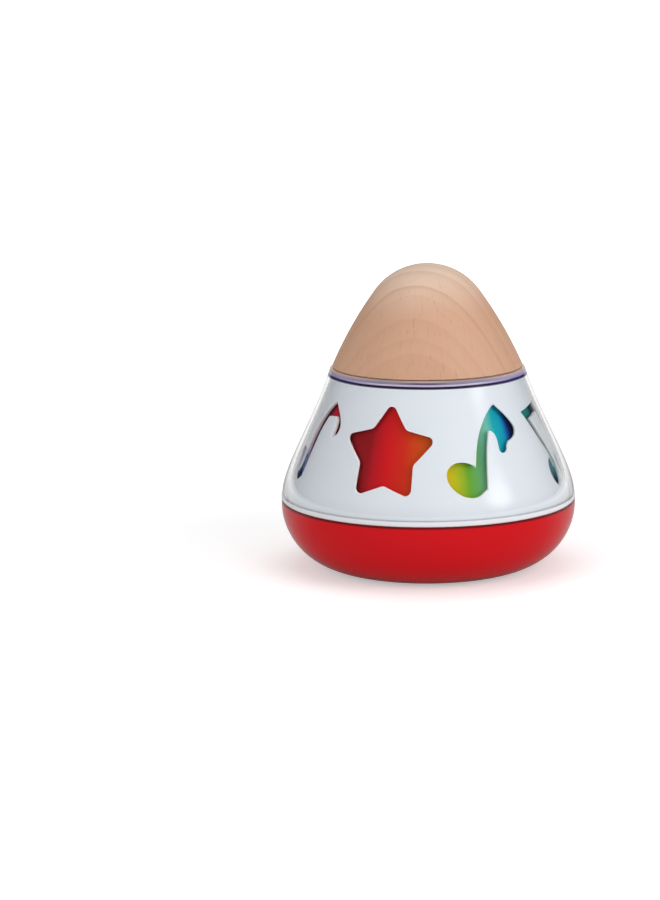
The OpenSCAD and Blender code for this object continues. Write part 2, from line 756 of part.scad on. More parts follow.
module wooden_top() color([0.83, 0.67, 0.52]) translate([0, 0, wood_z]) difference() {
  rotate_extrude() {
    difference() {
      intersection() {
        translate(side_c) circle(side_r, $fn = 720);
        square([wood_foot_r, meet[1]]);
      }
      polygon([
        [wood_foot_r - wood_bevel, 0], [wood_foot_r + over, -over], [wood_foot_r + over, 2 * wood_bevel],
        [wood_foot_r - wood_bevel * bevel_lean, wood_bevel]
      ]);
      square([journal_r + seat, socket_depth]);
    }
    intersection() {
      translate(crown_c) circle(crown_r);
      translate([0, meet[1]]) square([wood_foot_r, wood_h]);
    }
  }
  at_top_screws() cylinder(r = base_screw[0] + seat, h = socket_depth + wood_screw_len + over);
}

module rainbow_drum() color([0.9, 0.35, 0.15]) {
  foot = drum_foot_gap;
  under = carrier_top - seam_z;
  top = lip_top - seam_z;
  translate([0, 0, seam_z]) rotate_extrude() polygon([
    [drum_r(foot) - drum_level, foot], [drum_r(foot), foot], [drum_r(top), top],
    [shoulder_r + seat, top], [shoulder_r + seat, under], [drum_r(under) - drum_level, under]
  ]);
}

module drum_carrier() color([0.92, 0.92, 0.9]) difference() {
  rim = drum_r(carrier_top - seam_z) - drum_level - seat;
  hole = arbor_square + 2 * seat;
  union() {
    translate([0, 0, carrier_z]) cylinder(r1 = rim + carrier_t * sleeve_slope, r2 = rim, h = carrier_t);
    translate([0, 0, carrier_z]) cylinder(r = shoulder_r, h = shoulder_top - carrier_z);
    translate([0, 0, carrier_z]) cylinder(r = journal_r, h = journal_top - carrier_z);
  }
  translate([-hole / 2, -hole / 2, carrier_z - over]) cube([hole, hole, arbor_top - carrier_z + 2 * over]);
  translate([0, 0, arbor_top]) cylinder(r = small_screw[1] + arbor_recess_slack, h = arbor_recess + over);
  at_top_screws() {
    translate([0, 0, carrier_z - over]) cylinder(r = base_screw[1] + head_slack, h = top_screw_depth + over);
    bore(base_screw[0] + shank_slack, carrier_z, journal_top - carrier_z);
  }
}

module top_screws() color("silver") {
  at_top_screws() screw(base_screw, top_screw_z, journal_top - top_screw_z + wood_screw_len);
}

module winding_arbor() color("silver") difference() {
  union() {
    translate([0, 0, housing_z]) cylinder(r = pivot_r, h = housing_wall + end_play + sink);
    translate([0, 0, collet_z]) cylinder(r = collet_r, h = seam_z - collet_gap - collet_z);
    translate([0, 0, collet_z]) cylinder(r = arbor_r, h = carrier_z - collet_z);
    translate([-arbor_square / 2, -arbor_square / 2, carrier_z - sink]) {
      cube([arbor_square, arbor_square, arbor_top - carrier_z + sink]);
    }
  }
  bore(small_screw[0] + seat, arbor_top - arbor_screw_len, arbor_screw_len);
}

module arbor_screw() color("silver") screw_down(small_screw, arbor_top, arbor_screw_len);

// Face gear: straight rack teeth stand up round the rim
module crown_wheel() color([0.85, 0.66, 0.28]) {
  disc_t = 1.6;
  disc_top = crown_z - dedendum * crown_m;
  hub_z = bed_top + arbor_bush_flange_t + end_play;
  rim_half = (pinion_w + side_gap) / 2;
  low = -dedendum * crown_m - sink;
  high = addendum * crown_m;
  pitch_w = PI * crown_m / 2 - backlash;
  spoke_n = 5;
  hole_circle = (arbor_bush_r + crown_wheel_r - rim_half) / 2;
  difference() {
    union() {
      translate([0, 0, disc_top - disc_t]) cylinder(r = crown_wheel_r + rim_half, h = disc_t);
      translate([0, 0, hub_z]) cylinder(r = arbor_bush_r, h = disc_top - hub_z);
      for (i = [0 : crown_n - 1]) rotate(360 * i / crown_n) {
        along_x(crown_wheel_r - rim_half, 0, crown_z, 2 * rim_half) {
          polygon([for (s = [[-1, low], [1, low], [1, high], [-1, high]])
            [s[0] * (pitch_w / 2 - s[1] * tan(pressure)), s[1]]]);
        }
      }
    }
    bore(arbor_r + seat, hub_z, disc_top - hub_z);
    for (i = [0 : spoke_n - 1]) rotate(360 * i / spoke_n) translate([hole_circle, 0]) {
      bore(lightening_r, disc_top - disc_t, disc_t);
    }
  }
}

// Pins stand in one track per comb tooth, spread round the barrel by a golden step
module music_cylinder() color([0.86, 0.7, 0.34]) difference() {
  pins_per_track = 3;
  golden = 137.5;
  first_pin = 20;
  union() {
    rod_x(cyl_x, 0, cyl_z, cyl_r, cyl_len);
    for (i = [0 : note_n - 1], k = [0 : pins_per_track - 1]) {
      translate([note_x(i), 0, cyl_z]) rotate([golden * (i + note_n * k) + first_pin, 0, 0]) {
        cylinder(r = pin_r, h = cyl_r + pin_h, $fn = 16);
      }
    }
  }
  rod_x(cyl_x - over, 0, cyl_z, shaft_r + seat, cyl_len + 2 * over);
}

module cylinder_shaft() color("silver") {
  rod_x(pinion_x - shaft_end, 0, cyl_z, shaft_r, outer_post_x + post_t + 2 * shaft_end - pinion_x);
}

module cylinder_pinion() color([0.85, 0.66, 0.28]) {
  along_x(pinion_x, 0, cyl_z, pinion_w) difference() {
    rotate(-90 + 180 / pinion_n) gear_outline(crown_m, pinion_n);
    circle(shaft_r + seat);
  }
}

module cylinder_gear() color([0.85, 0.66, 0.28]) {
  spoke_n = 4;
  along_x(gear_x, 0, cyl_z, gear_w) difference() {
    gear_outline(gov_m, gear_n);
    circle(shaft_r + seat);
    for (i = [0 : spoke_n - 1]) rotate(45 + 360 * i / spoke_n) {
      translate([(shaft_r + gear_pitch_r) / 2, 0]) circle(lightening_r);
    }
  }
}

module governor_arbor() color("silver") {
  rod_x(cheek_x - shaft_end, gov_y, cyl_z, gov_shaft_r, outer_post_x + cheek_t + 2 * shaft_end - cheek_x);
}

module governor_pinion() color([0.85, 0.66, 0.28]) {
  along_x(gear_x, gov_y, cyl_z, gear_w) difference() {
    rotate(180 + 180 / gov_n) gear_outline(gov_m, gov_n);
    circle(gov_shaft_r + seat);
  }
}

// Slim straight-sided teeth, which a screw of small lead can drive
module worm_wheel() color([0.94, 0.93, 0.88]) {
  step = 360 / worm_wheel_n;
  foot_a = 0.3 * step;
  tip_a = 0.1 * step;
  tip = worm_wheel_r + addendum * gov_m;
  root = worm_wheel_r - dedendum * gov_m;
  tooth = [[root, -foot_a], [tip, -tip_a], [tip, tip_a], [root, foot_a]];
  along_x(worm_wheel_x, gov_y, cyl_z, worm_wheel_w) difference() {
    polygon([for (k = [0 : worm_wheel_n - 1], s = tooth) polar(s[0], step * k + s[1])]);
    circle(gov_shaft_r + seat);
  }
}

// One right-hand thread, drawn as its cross-section and twisted along the shaft
function thread_share(a) = let (d = abs(a > 180 ? a - 360 : a))
  max(0, min(1, (thread_foot - d) / (thread_foot - thread_crest)));
module worm_screw() color("silver") {
  tip = worm_pitch_r + addendum * gov_m;
  root = worm_pitch_r - dedendum * gov_m;
  sides = 20;
  slices = 12 * worm_turns;
  bearings = [for (i = [0 : sides - 1]) 360 * i / sides];
  section = [for (a = bearings) polar(root + (tip - root) * thread_share(a), a)];
  shaft_z = bed_top - worm_pivot;
  translate([worm_x, worm_y, 0]) {
    translate([0, 0, worm_z]) rotate(90 - 360 * (cyl_z - worm_z) / worm_lead) {
      linear_extrude(worm_len, twist = -360 * worm_turns, slices = slices, segments = sides) {
        polygon(section);
      }
    }
    translate([0, 0, shaft_z]) {
      cylinder(r = worm_shaft_r, h = bridge_z + bridge_t + shaft_end - shaft_z, $fn = 48);
    }
  }
}

module air_brake() color([0.9, 0.9, 0.88]) translate([worm_x, worm_y]) difference() {
  union() {
    translate([0, 0, fan_z]) cylinder(r = fan_hub_r, h = fan_h, $fn = 48);
    for (s = [0, 180]) rotate(s + fan_turn) translate([0, -wing_t / 2, fan_z]) cube([fan_r, wing_t, fan_h]);
  }
  bore(worm_shaft_r + seat, fan_z, fan_h);
}

base_bowl();
base_screws();
chassis_plate();
clear_shell();
white_sleeve();
top_bush();
bed_plate();
bed_screws();
arbor_bush();
spring_housing();
housing_screws();
main_spring();
cylinder_bushes();
comb();
comb_screws();
governor_frame();
governor_bridge();
governor_screws();
wooden_top();
rainbow_drum();
drum_carrier();
top_screws();
winding_arbor();
arbor_screw();
crown_wheel();
music_cylinder();
cylinder_shaft();
cylinder_pinion();
cylinder_gear();
governor_arbor();
governor_pinion();
worm_wheel();
worm_screw();
air_brake();
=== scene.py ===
"""Wind-up music box: finishes, smooth outer pieces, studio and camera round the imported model.

Lengths are metres in Blender and millimetres in the outlines below. +Z is up, the front faces -Y
and the table is z = 0. Bearings are measured from the front towards +X.
"""
import json
import math

import bmesh
import bpy
from mathutils import Matrix, Vector
from mathutils.geometry import delaunay_2d_cdt


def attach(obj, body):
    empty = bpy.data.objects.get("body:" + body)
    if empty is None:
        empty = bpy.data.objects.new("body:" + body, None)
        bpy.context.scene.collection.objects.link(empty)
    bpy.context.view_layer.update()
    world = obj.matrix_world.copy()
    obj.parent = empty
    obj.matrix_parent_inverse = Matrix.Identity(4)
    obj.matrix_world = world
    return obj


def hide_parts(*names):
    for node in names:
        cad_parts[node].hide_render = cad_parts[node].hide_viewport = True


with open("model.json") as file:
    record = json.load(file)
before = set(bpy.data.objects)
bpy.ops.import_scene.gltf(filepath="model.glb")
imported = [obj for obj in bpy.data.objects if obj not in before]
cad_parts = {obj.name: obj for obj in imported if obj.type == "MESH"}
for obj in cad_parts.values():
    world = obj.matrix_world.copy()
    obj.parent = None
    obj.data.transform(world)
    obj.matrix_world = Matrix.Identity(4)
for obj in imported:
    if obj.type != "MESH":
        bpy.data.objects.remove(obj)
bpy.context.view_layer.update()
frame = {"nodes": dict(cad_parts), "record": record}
nodes = frame["nodes"]
slot_of = {row["node"]: row["material_slot"] for row in frame["record"]["subparts"]}
MM = 0.001
# Points closer than this are one: in metres on meshes, in millimetres on flat outlines
WELD, FLAT_WELD = 0.0000002, 0.00001

# Sizes of the outer pieces, in millimetres, the same as in the part's source
RIM_R, SEAM_Z = 60.0, 28.0
BOWL_WALL, BOWL_BAND = 2.2, 1.5
BOWL_R = SEAM_Z - BOWL_BAND
FOOT_R = RIM_R - BOWL_R
BOSSES, BOSS_BEARING, BOSS_CIRCLE_R, BOSS_R, BOSS_TOP = 4, 45.0, 28.0, 4.5, 10.2
HEAD_HOLE_R, HEAD_HOLE_DEPTH, SHANK_HOLE_R = 3.1, 5.5, 1.6
SHELL_H, SHELL_WALL, ROOF_T, SHELL_TOP_R = 54.0, 1.6, 1.8, 39.45
FLANGE_H, FLANGE_STEP, GROOVE = 2.1, 0.35, 0.45
SHELL_BELLY, SHOULDER_OUT, SHOULDER_DROP, SHELL_ROUND = 10.6, 6.5, 20.9, 0.7
SLEEVE_WALL, SLEEVE_GAP, SLEEVE_FOOT_H, SLEEVE_TOP_GAP = 1.2, 0.4, 3.0, 1.3
DRUM_GAP, DRUM_WALL, DRUM_FOOT, LIP_T = 1.6, 1.2, 2.0, 1.2
BUSH_HOLE_R, SHOULDER_R, LIP_TOP = 16.08, 19.08, 51.05
WOOD_H, WOOD_INSET, CROWN_R, SIDE_R = 41.5, 0.75, 26.2, 165.0
WOOD_GAP, WOOD_BEVEL, SOCKET_R, SOCKET_DEPTH = 0.4, 0.6, 13.03, 2.0
TOP_SCREWS, TOP_SCREW_BEARING, TOP_SCREW_CIRCLE = 3, 30.0, 8.4
TOP_SCREW_HOLE_R, TOP_SCREW_DEPTH = 1.53, 16.0
FIGURES, FIGURE_START, FIGURE_PITCH, NOTE_BACK = 8, -19.5, 45.0, 5.0
STAR_Z, STAR_R, STAR_INNER_R, STAR_ROUND = 25.9, 18.0, 11.6, 2.2
WOOD_FOOT_Z = SEAM_Z + SHELL_H + WOOD_GAP
# Rounding of small edges, and how far a tool reaches past what it cuts or joins
EDGE, PAST = 0.25, 1.0


# Shader helpers

def linear(red, green, blue):
    """A colour given as 0 to 255 display values, as the linear values that shaders use."""
    def one(value):
        share = value / 255
        return share / 12.92 if share <= 0.04045 else ((share + 0.055) / 1.055) ** 2.4
    return (one(red), one(green), one(blue), 1.0)


def add(tree, kind, inputs=None, **settings):
    """Adds a node, sets its properties, and sets or links its inputs."""
    made = tree.nodes.new(kind)
    for name, value in settings.items():
        setattr(made, name, value)
    for name, value in (inputs or {}).items():
        if isinstance(value, bpy.types.NodeSocket):
            tree.links.new(value, made.inputs[name])
        else:
            made.inputs[name].default_value = value
    return made


def maths(tree, operation, first, second=0.0, third=0.0):
    return add(tree, "ShaderNodeMath", {0: first, 1: second, 2: third}, operation=operation).outputs[0]


def times(tree, first, second):
    return maths(tree, "MULTIPLY", first, second)


def times_plus(tree, first, second, added):
    return maths(tree, "MULTIPLY_ADD", first, second, added)


def minus(tree, first, second):
    return maths(tree, "SUBTRACT", first, second)


def larger(tree, first, second):
    return maths(tree, "MAXIMUM", first, second)


def ramp(tree, factor, stops):
    """A colour ramp with the given (place, colour) stops."""
    made = add(tree, "ShaderNodeValToRGB", {"Fac": factor})
    band = made.color_ramp
    while len(band.elements) < len(stops):
        band.elements.new(0.5)
    for element, (place_on, colour) in zip(band.elements, stops):
        element.position = place_on
        element.color = colour
    return made.outputs["Color"]


def grey_ramp(tree, factor, *stops):
    """A ramp between grey values, given as (place, value) stops."""
    return ramp(tree, factor, [(place_on, (value, value, value, 1.0)) for place_on, value in stops])


def tones(*stops):
    """Ramp stops whose colours are given as 0 to 255 display values."""
    return [(place_on, linear(*colour)) for place_on, colour in stops]


def mix(tree, factor, first, second):
    """Blends two colours."""
    return add(tree, "ShaderNodeMix", {0: factor, 6: first, 7: second}, data_type="RGBA").outputs[2]


def place(tree, scale=(1, 1, 1)):
    """Object coordinates, stretched."""
    coords = add(tree, "ShaderNodeTexCoord").outputs["Object"]
    return add(tree, "ShaderNodeMapping", {"Vector": coords, "Scale": scale}).outputs[0]


def object_xyz(tree):
    """X, Y and Z of Object coordinates, by name."""
    return add(tree, "ShaderNodeSeparateXYZ", {0: place(tree)}).outputs


def combined(tree, x, y, z):
    return add(tree, "ShaderNodeCombineXYZ", {0: x, 1: y, 2: z}).outputs[0]


def between(tree, value, low, high, at_low=0.0, at_high=1.0, **settings):
    """Maps a value from one range to another and holds it at the ends."""
    limits = {"Value": value, "From Min": low, "From Max": high, "To Min": at_low, "To Max": at_high}
    return add(tree, "ShaderNodeMapRange", limits, **settings).outputs[0]


def height_share(tree, low, high):
    """0 at one height and 1 at another, both in millimetres above the table."""
    return between(tree, object_xyz(tree)["Z"], low * MM, high * MM)


def noise(tree, vector, scale, detail=2.0):
    inputs = {"Vector": vector, "Scale": scale, "Detail": detail}
    return add(tree, "ShaderNodeTexNoise", inputs).outputs["Fac"]


def level_length(tree, x, y):
    """Length of a level step."""
    squares = [maths(tree, "POWER", part, 2.0) for part in (x, y)]
    return maths(tree, "SQRT", maths(tree, "ADD", *squares))


def new_tree(name, kind, inputs, outputs):
    """A node group with named sockets, given as {name: type}; returns it with its two ends."""
    tree = bpy.data.node_groups.new(name, kind)
    for way, sockets in (("INPUT", inputs), ("OUTPUT", outputs)):
        for label, socket_type in sockets.items():
            tree.interface.new_socket(label, in_out=way, socket_type="NodeSocket" + socket_type)
    return tree, tree.nodes.new("NodeGroupInput").outputs, tree.nodes.new("NodeGroupOutput").inputs


# Finishes

def surface_group(name, stretch, patch_scale, patch_detail, fine_share):
    """Fine grain or lines as the height; patches, and a share of the fine noise, vary the roughness."""
    tree, given, put = new_tree(
        name, "ShaderNodeTree",
        {"Scale": "Float", "Roughness": "Float", "Spread": "Float"},
        {"Roughness": "Float", "Height": "Float"},
    )
    fine = noise(tree, place(tree, (1.0, 1.0, stretch)), given["Scale"])
    patch = noise(tree, place(tree), patch_scale, patch_detail)
    uneven = times_plus(tree, minus(tree, fine, 0.5), fine_share, minus(tree, patch, 0.5))
    tree.links.new(times_plus(tree, uneven, given["Spread"], given["Roughness"]), put["Roughness"])
    tree.links.new(fine, put["Height"])
    return tree


# Moulded plastic is faintly wavy and smudged, and cut metal has turning lines and a patchy sheen
MOULDED = surface_group("moulded surface", 1.0, patch_scale=28.0, patch_detail=4.0, fine_share=0.0)
MACHINED = surface_group("machined surface", 0.05, patch_scale=160.0, patch_detail=3.0, fine_share=1.0)


def new_material(name, colour, **sockets):
    """A material whose Principled shader has this colour, 0 to 255, and these constant values."""
    material = bpy.data.materials.new(name)
    material.use_nodes = True
    tree = material.node_tree
    shader = tree.nodes["Principled BSDF"]
    shader.inputs["Base Color"].default_value = linear(*colour)
    for label, value in sockets.items():
        shader.inputs[label.replace("_", " ")].default_value = value
    return material, tree, shader


def use_group(tree, shader, group, bump, values):
    """Feeds a surface group's roughness and height to the shader."""
    made = add(tree, "ShaderNodeGroup", values, node_tree=group)
    tree.links.new(made.outputs["Roughness"], shader.inputs["Roughness"])
    relief = add(tree, "ShaderNodeBump", {"Height": made.outputs["Height"], "Distance": bump})
    tree.links.new(relief.outputs[0], shader.inputs["Normal"])


def plastic(name, colour, roughness, smudge=0.04, grain=900.0, bump=0.00001, **sockets):
    """Moulded plastic: its material, tree and shader."""
    material, tree, shader = new_material(name, colour, **sockets)
    use_group(tree, shader, MOULDED, bump, {"Scale": grain, "Roughness": roughness, "Spread": smudge})
    return material, tree, shader


def metal(name, colour, roughness, lines=2600.0, spread=0.15, bump=0.000006):
    """Machined metal."""
    material, tree, shader = new_material(name, colour, Metallic=1.0)
    use_group(tree, shader, MACHINED, bump, {"Scale": lines, "Roughness": roughness, "Spread": spread})
    return material


def year_rings(tree, xyz):
    """Tone of the year rings from 0, pale, to 1, dark: they lie round a pith far behind the piece."""
    pith_bearing, pith_reach = math.radians(12), 0.17
    ring_gap, taper, first_ring = 0.0052, 0.05, 0.0035
    wander_scale, wander_stretch, wander_depth = 24.0, 0.45, 0.0045
    uneven_scale, uneven_depth = 120.0, 2.2
    faintest, strongest = 0.25, 1.0
    pith = (pith_reach * math.sin(pith_bearing), pith_reach * math.cos(pith_bearing))
    wander = minus(tree, noise(tree, place(tree, (1, 1, wander_stretch)), wander_scale), 0.5)
    reach = level_length(tree, minus(tree, xyz["X"], pith[0]), minus(tree, xyz["Y"], pith[1]))
    reach = times_plus(tree, xyz["Z"], taper, reach)
    reach = times_plus(tree, wander, wander_depth, reach)
    reach = minus(tree, reach, first_ring)
    uneven = add(tree, "ShaderNodeTexNoise", {"W": reach, "Scale": uneven_scale, "Detail": 1.0},
                 noise_dimensions="1D").outputs["Fac"]
    year = times_plus(tree, uneven, uneven_depth, maths(tree, "DIVIDE", reach, ring_gap))
    tone = grey_ramp(tree, maths(tree, "FRACT", year), (0.0, 0.1), (0.1, 1.0), (0.6, 0.3), (1.0, 0.1))
    count = add(tree, "ShaderNodeTexWhiteNoise", {"W": maths(tree, "FLOOR", year)}, noise_dimensions="1D")
    strength = times_plus(tree, count.outputs["Value"], strongest - faintest, faintest)
    return times(tree, tone, strength)


def grain_way(tree, xyz):
    """Coordinates for the grain, evened out so that it keeps its width where the dome narrows."""
    usual_girth, least_girth, stretch = 0.033, 0.012, 0.13
    girth = larger(tree, level_length(tree, xyz["X"], xyz["Y"]), least_girth)
    even = maths(tree, "DIVIDE", usual_girth, girth)
    scales = {"X": even, "Y": even, "Z": stretch}
    return combined(tree, *[times(tree, xyz[axis], scale) for axis, scale in scales.items()])


def beech():
    """Turned beech: uneven year rings that show as nested arches, short rays and fine fibres, and a paler
    crown that is painted light from above.
    """
    pale, deep, painted_crown_light = linear(218, 175, 147), linear(204, 156, 127), linear(242, 220, 200)
    ring_tone, ray_tone, fibre_tone = linear(188, 140, 110), linear(160, 108, 76), linear(184, 138, 106)
    cloud_scale, cloud_stretch, cloud_detail, cloud_share = 34.0, 0.5, 3.0, 0.6
    crown_low, crown_high, crown_drift, crown_share = 0.108, 0.132, 0.012, 0.85
    ray_scale, ray_detail, ray_share, ring_share = 1500.0, 1.0, 0.3, 0.5
    fibre_scale, fibre_stretch, fibre_share = 2300.0, 0.35, 0.2
    smoothest, rough_spread, relief_depth = 0.4, 0.2, 0.00003
    material, tree, shader = new_material("beech", (214, 174, 146), Specular_IOR_Level=0.3)
    xyz = object_xyz(tree)
    cloud = noise(tree, place(tree, (1, 1, cloud_stretch)), cloud_scale, cloud_detail)
    body = mix(tree, times(tree, cloud, cloud_share), pale, deep)
    # Painted light: the crown turns paler upwards, as if lit from above
    height = times_plus(tree, cloud, crown_drift, xyz["Z"])
    crown = between(tree, height, crown_low, crown_high, 0.0, crown_share, interpolation_type="SMOOTHSTEP")
    tone = mix(tree, crown, body, painted_crown_light)
    ringed = mix(tree, times(tree, year_rings(tree, xyz), ring_share), tone, ring_tone)
    along = grain_way(tree, xyz)
    rays = noise(tree, along, ray_scale, ray_detail)
    rays = grey_ramp(tree, rays, (0.0, 0.0), (0.65, 0.0), (0.75, 1.0))
    flecked = mix(tree, times(tree, rays, ray_share), ringed, ray_tone)
    fibre_way = add(tree, "ShaderNodeMapping", {"Vector": along, "Scale": (1.0, 1.0, fibre_stretch)})
    fibre = noise(tree, fibre_way.outputs[0], fibre_scale)
    final = mix(tree, times(tree, fibre, fibre_share), flecked, fibre_tone)
    tree.links.new(final, shader.inputs["Base Color"])
    roughness = times_plus(tree, fibre, rough_spread, smoothest)
    tree.links.new(roughness, shader.inputs["Roughness"])
    depth = minus(tree, fibre, rays)
    relief = add(tree, "ShaderNodeBump", {"Height": depth, "Distance": relief_depth})
    tree.links.new(relief.outputs[0], shader.inputs["Normal"])
    return material


def rainbow_print():
    """Printed rainbow that runs round the drum twice, from red through green and blue to red again.

    Stops are (bearing in degrees, colour) over one of the two runs. The dark red from -44 to -30 is painted
    shade, not print.
    """
    material, tree, shader = plastic(
        "rainbow_print", (230, 60, 30), 0.38, smudge=0.05, grain=1200.0, bump=0.000008,
        Specular_IOR_Level=0.15)
    start, turn = -60.0, 180.0
    red, teal, navy = (206, 16, 30), (10, 152, 148), (20, 34, 108)
    # Painted shade: the dark red from -44 to -30 stands for the shadow of the sleeve's edge on the star's
    # left arm. From 48 to 54 the blue darkens to near-black navy and back
    print_and_shade_stops = [
        (-60, red), (-44, (150, 18, 28)), (-30, (150, 18, 28)), (-27, (184, 18, 30)), (-20, (214, 18, 26)),
        (-12, (212, 42, 22)), (-6, (212, 70, 20)), (2, (204, 90, 18)),
        (6, (226, 166, 12)), (9, (230, 204, 8)), (14, (176, 188, 18)), (19, (104, 172, 38)),
        (26, (96, 172, 116)), (33, (108, 196, 176)), (37, (6, 178, 184)), (43, (0, 156, 190)),
        (46, (14, 80, 158)), (48, navy), (50, (26, 16, 76)), (54, (20, 24, 88)), (58, (12, 90, 148)),
        (63, (4, 134, 140)), (71, (0, 138, 124)), (77, (0, 118, 138)), (85, teal),
        (92, (40, 100, 180)), (103, (124, 76, 164)), (112, (196, 64, 106)), (120, red),
    ]
    xyz = object_xyz(tree)
    forward = times(tree, xyz["Y"], -1.0)
    bearing = maths(tree, "ARCTAN2", xyz["X"], forward)
    past_start = minus(tree, bearing, math.radians(start))
    cycle = maths(tree, "FRACT", maths(tree, "DIVIDE", past_start, math.radians(turn)))
    band = ramp(tree, cycle, tones(*[((at - start) / turn, colour) for at, colour in print_and_shade_stops]))
    tree.links.new(band, shader.inputs["Base Color"])
    return material


def lined_plastic(name, colour, roughness, low, high, stops, **sockets):
    """Moulded plastic whose tone follows a ramp between two heights, in millimetres above the table."""
    material, tree, shader = plastic(name, colour, roughness, **sockets)
    tone = ramp(tree, height_share(tree, low, high), stops)
    tree.links.new(tone, shader.inputs["Base Color"])
    return material


def white_satin():
    """Cool white of the sleeve, with painted shade at its foot: a grey line where the flange keeps light
    off, fading up into the white.
    """
    # Painted shade: grey at the foot, a slightly dimmer white above it, then the full white
    pale, faint_shade, shade = (234, 241, 248), (224, 231, 238), (184, 191, 200)
    shaded_h = 8.0
    stops = tones((0.0, shade), (0.25, shade), (0.31, faint_shade), (1.0, pale))
    return lined_plastic("white_satin", pale, 0.34, SEAM_Z, SEAM_Z + shaded_h, stops)


def red_gloss():
    """Glossy red of the bowl, with painted shade at its rim: a dark line where the flange shades it."""
    # Painted shade: the red darkens into a dark line at the top of the rim, under the flange
    red, deep, shade = (209, 9, 21), (196, 10, 20), (112, 5, 12)
    shaded_h = 1.4
    stops = tones((0.0, red), (0.3, deep), (0.5, shade), (1.0, shade))
    return lined_plastic("red_gloss", red, 0.12, SEAM_Z - shaded_h, SEAM_Z, stops, Specular_IOR_Level=0.3)


def pass_light(tree, shader):
    """Lets lamp and bounced light go through a clear finish, so that the pieces inside are lit."""
    path = add(tree, "ShaderNodeLightPath")
    passed = larger(tree, path.outputs["Is Shadow Ray"], path.outputs["Is Diffuse Ray"])
    clear = add(tree, "ShaderNodeBsdfTransparent", {"Color": (0.98, 0.98, 0.98, 1.0)})
    shown = add(tree, "ShaderNodeMixShader", {0: passed, 1: shader.outputs[0], 2: clear.outputs[0]})
    tree.links.new(shown.outputs[0], tree.nodes["Material Output"].inputs["Surface"])


def clear_plastic(name, colour, clearness, roughness):
    """Polished clear plastic with faint smudges: its material, tree and shader."""
    material, tree, shader = plastic(
        name, colour, roughness, smudge=0.02, grain=300.0, bump=0.000002,
        Transmission_Weight=clearness, IOR=1.49)
    pass_light(tree, shader)
    return material, tree, shader


def clear_edge():
    """The shell's top edge over the sleeve, with its light painted on: a painted white highlight between
    painted dark violet lines of shade, and more painted violet reflection at the sides.
    """
    drift_scale, drift_stretch, drift_up, drift_across = 60.0, 0.2, 0.12, 0.25
    grey_violet = linear(152, 144, 164)
    material, tree, shader = clear_plastic("clear_edge", (150, 140, 180), 0.1, 0.15)
    shader.inputs["Specular IOR Level"].default_value = 0.15
    high = SEAM_Z + SHELL_H
    height = height_share(tree, high - ROOF_T - SLEEVE_TOP_GAP, high)
    drift = minus(tree, noise(tree, place(tree, (1, 1, drift_stretch)), drift_scale), 0.5)
    height = times_plus(tree, drift, drift_up, height)
    # Painted from the bottom up: grey shade, a dark violet line, a white highlight, a dark violet line and
    # a pale top; the sides are more violet, a painted reflection
    front = ramp(tree, height, tones(
        (0.0, (150, 146, 158)), (0.06, (90, 82, 100)), (0.12, (40, 32, 52)), (0.32, (40, 32, 54)),
        (0.41, (206, 198, 222)), (0.54, (222, 214, 236)), (0.61, (70, 60, 94)), (0.8, (76, 66, 98)),
        (0.88, (176, 162, 172)), (1.0, (206, 186, 180)),
    ))
    side = ramp(tree, height, tones(
        (0.0, (200, 196, 214)), (0.08, (120, 112, 150)), (0.14, (44, 36, 78)), (0.36, (52, 44, 90)),
        (0.46, (150, 140, 186)), (0.7, (176, 164, 196)), (0.84, (186, 172, 186)), (1.0, (214, 190, 174)),
    ))
    across = times_plus(tree, object_xyz(tree)["X"], 0.5 / (SHELL_TOP_R * MM), 0.5)
    uneven = times_plus(tree, drift, drift_across, across)
    upper = grey_ramp(tree, height, (0.52, 0.0), (0.6, 1.0))
    faded = grey_ramp(tree, uneven, (0.34, 0.8), (0.44, 0.1), (0.56, 0.1), (0.66, 0.8))
    front = mix(tree, times(tree, upper, faded), front, grey_violet)
    sides = grey_ramp(tree, across, (0.04, 0.9), (0.25, 0.1), (0.75, 0.1), (0.93, 0.95))
    tree.links.new(mix(tree, sides, front, side), shader.inputs["Base Color"])
    return material


# Plain finishes as (colour, roughness), and clear ones as (colour, clearness, roughness)
PLASTICS = {
    "white_plastic": ((236, 236, 232), 0.42),
    "white_edge": ((248, 248, 250), 0.3),
    "bearing_plastic": ((236, 232, 218), 0.4),
}
CLEAR_PLASTICS = {
    "clear_plastic": ((255, 255, 255), 1.0, 0.02),
    # clear_flange is painted an almost opaque white for the flange's highlight and the white chassis and
    # sleeve seen through it: partly a painted highlight
    "clear_flange": ((242, 243, 246), 0.1, 0.15),
    # clear_roof is painted light: a pale tan on the clear roof that lightens the shadowed gap under the
    # wood
    "clear_roof": ((226, 190, 162), 0.1, 0.3),
}
METALS = {
    "bed_metal": ((186, 188, 192), 0.36),
    "screw_steel": ((196, 198, 202), 0.28),
    "shaft_steel": ((184, 186, 190), 0.22),
    "spring_steel": ((92, 100, 128), 0.26),
    "comb_steel": ((160, 164, 172), 0.2),
    "bronze": ((184, 140, 84), 0.3),
    "brass": ((216, 176, 92), 0.24),
}
finishes = {
    "red_gloss": red_gloss(),
    "white_satin": white_satin(),
    "clear_edge": clear_edge(),
    "rainbow_print": rainbow_print(),
    "beech": beech(),
}
for name, (tone, roughness) in PLASTICS.items():
    finishes[name] = plastic(name, tone, roughness)[0]
for name, (tone, clearness, roughness) in CLEAR_PLASTICS.items():
    finishes[name] = clear_plastic(name, tone, clearness, roughness)[0]
for name, (tone, roughness) in METALS.items():
    finishes[name] = metal(name, tone, roughness)

for name, thing in nodes.items():
    thing.data.materials.clear()
    thing.data.materials.append(finishes[slot_of[name]])


# Outlines: lists of (x, y) points in millimetres

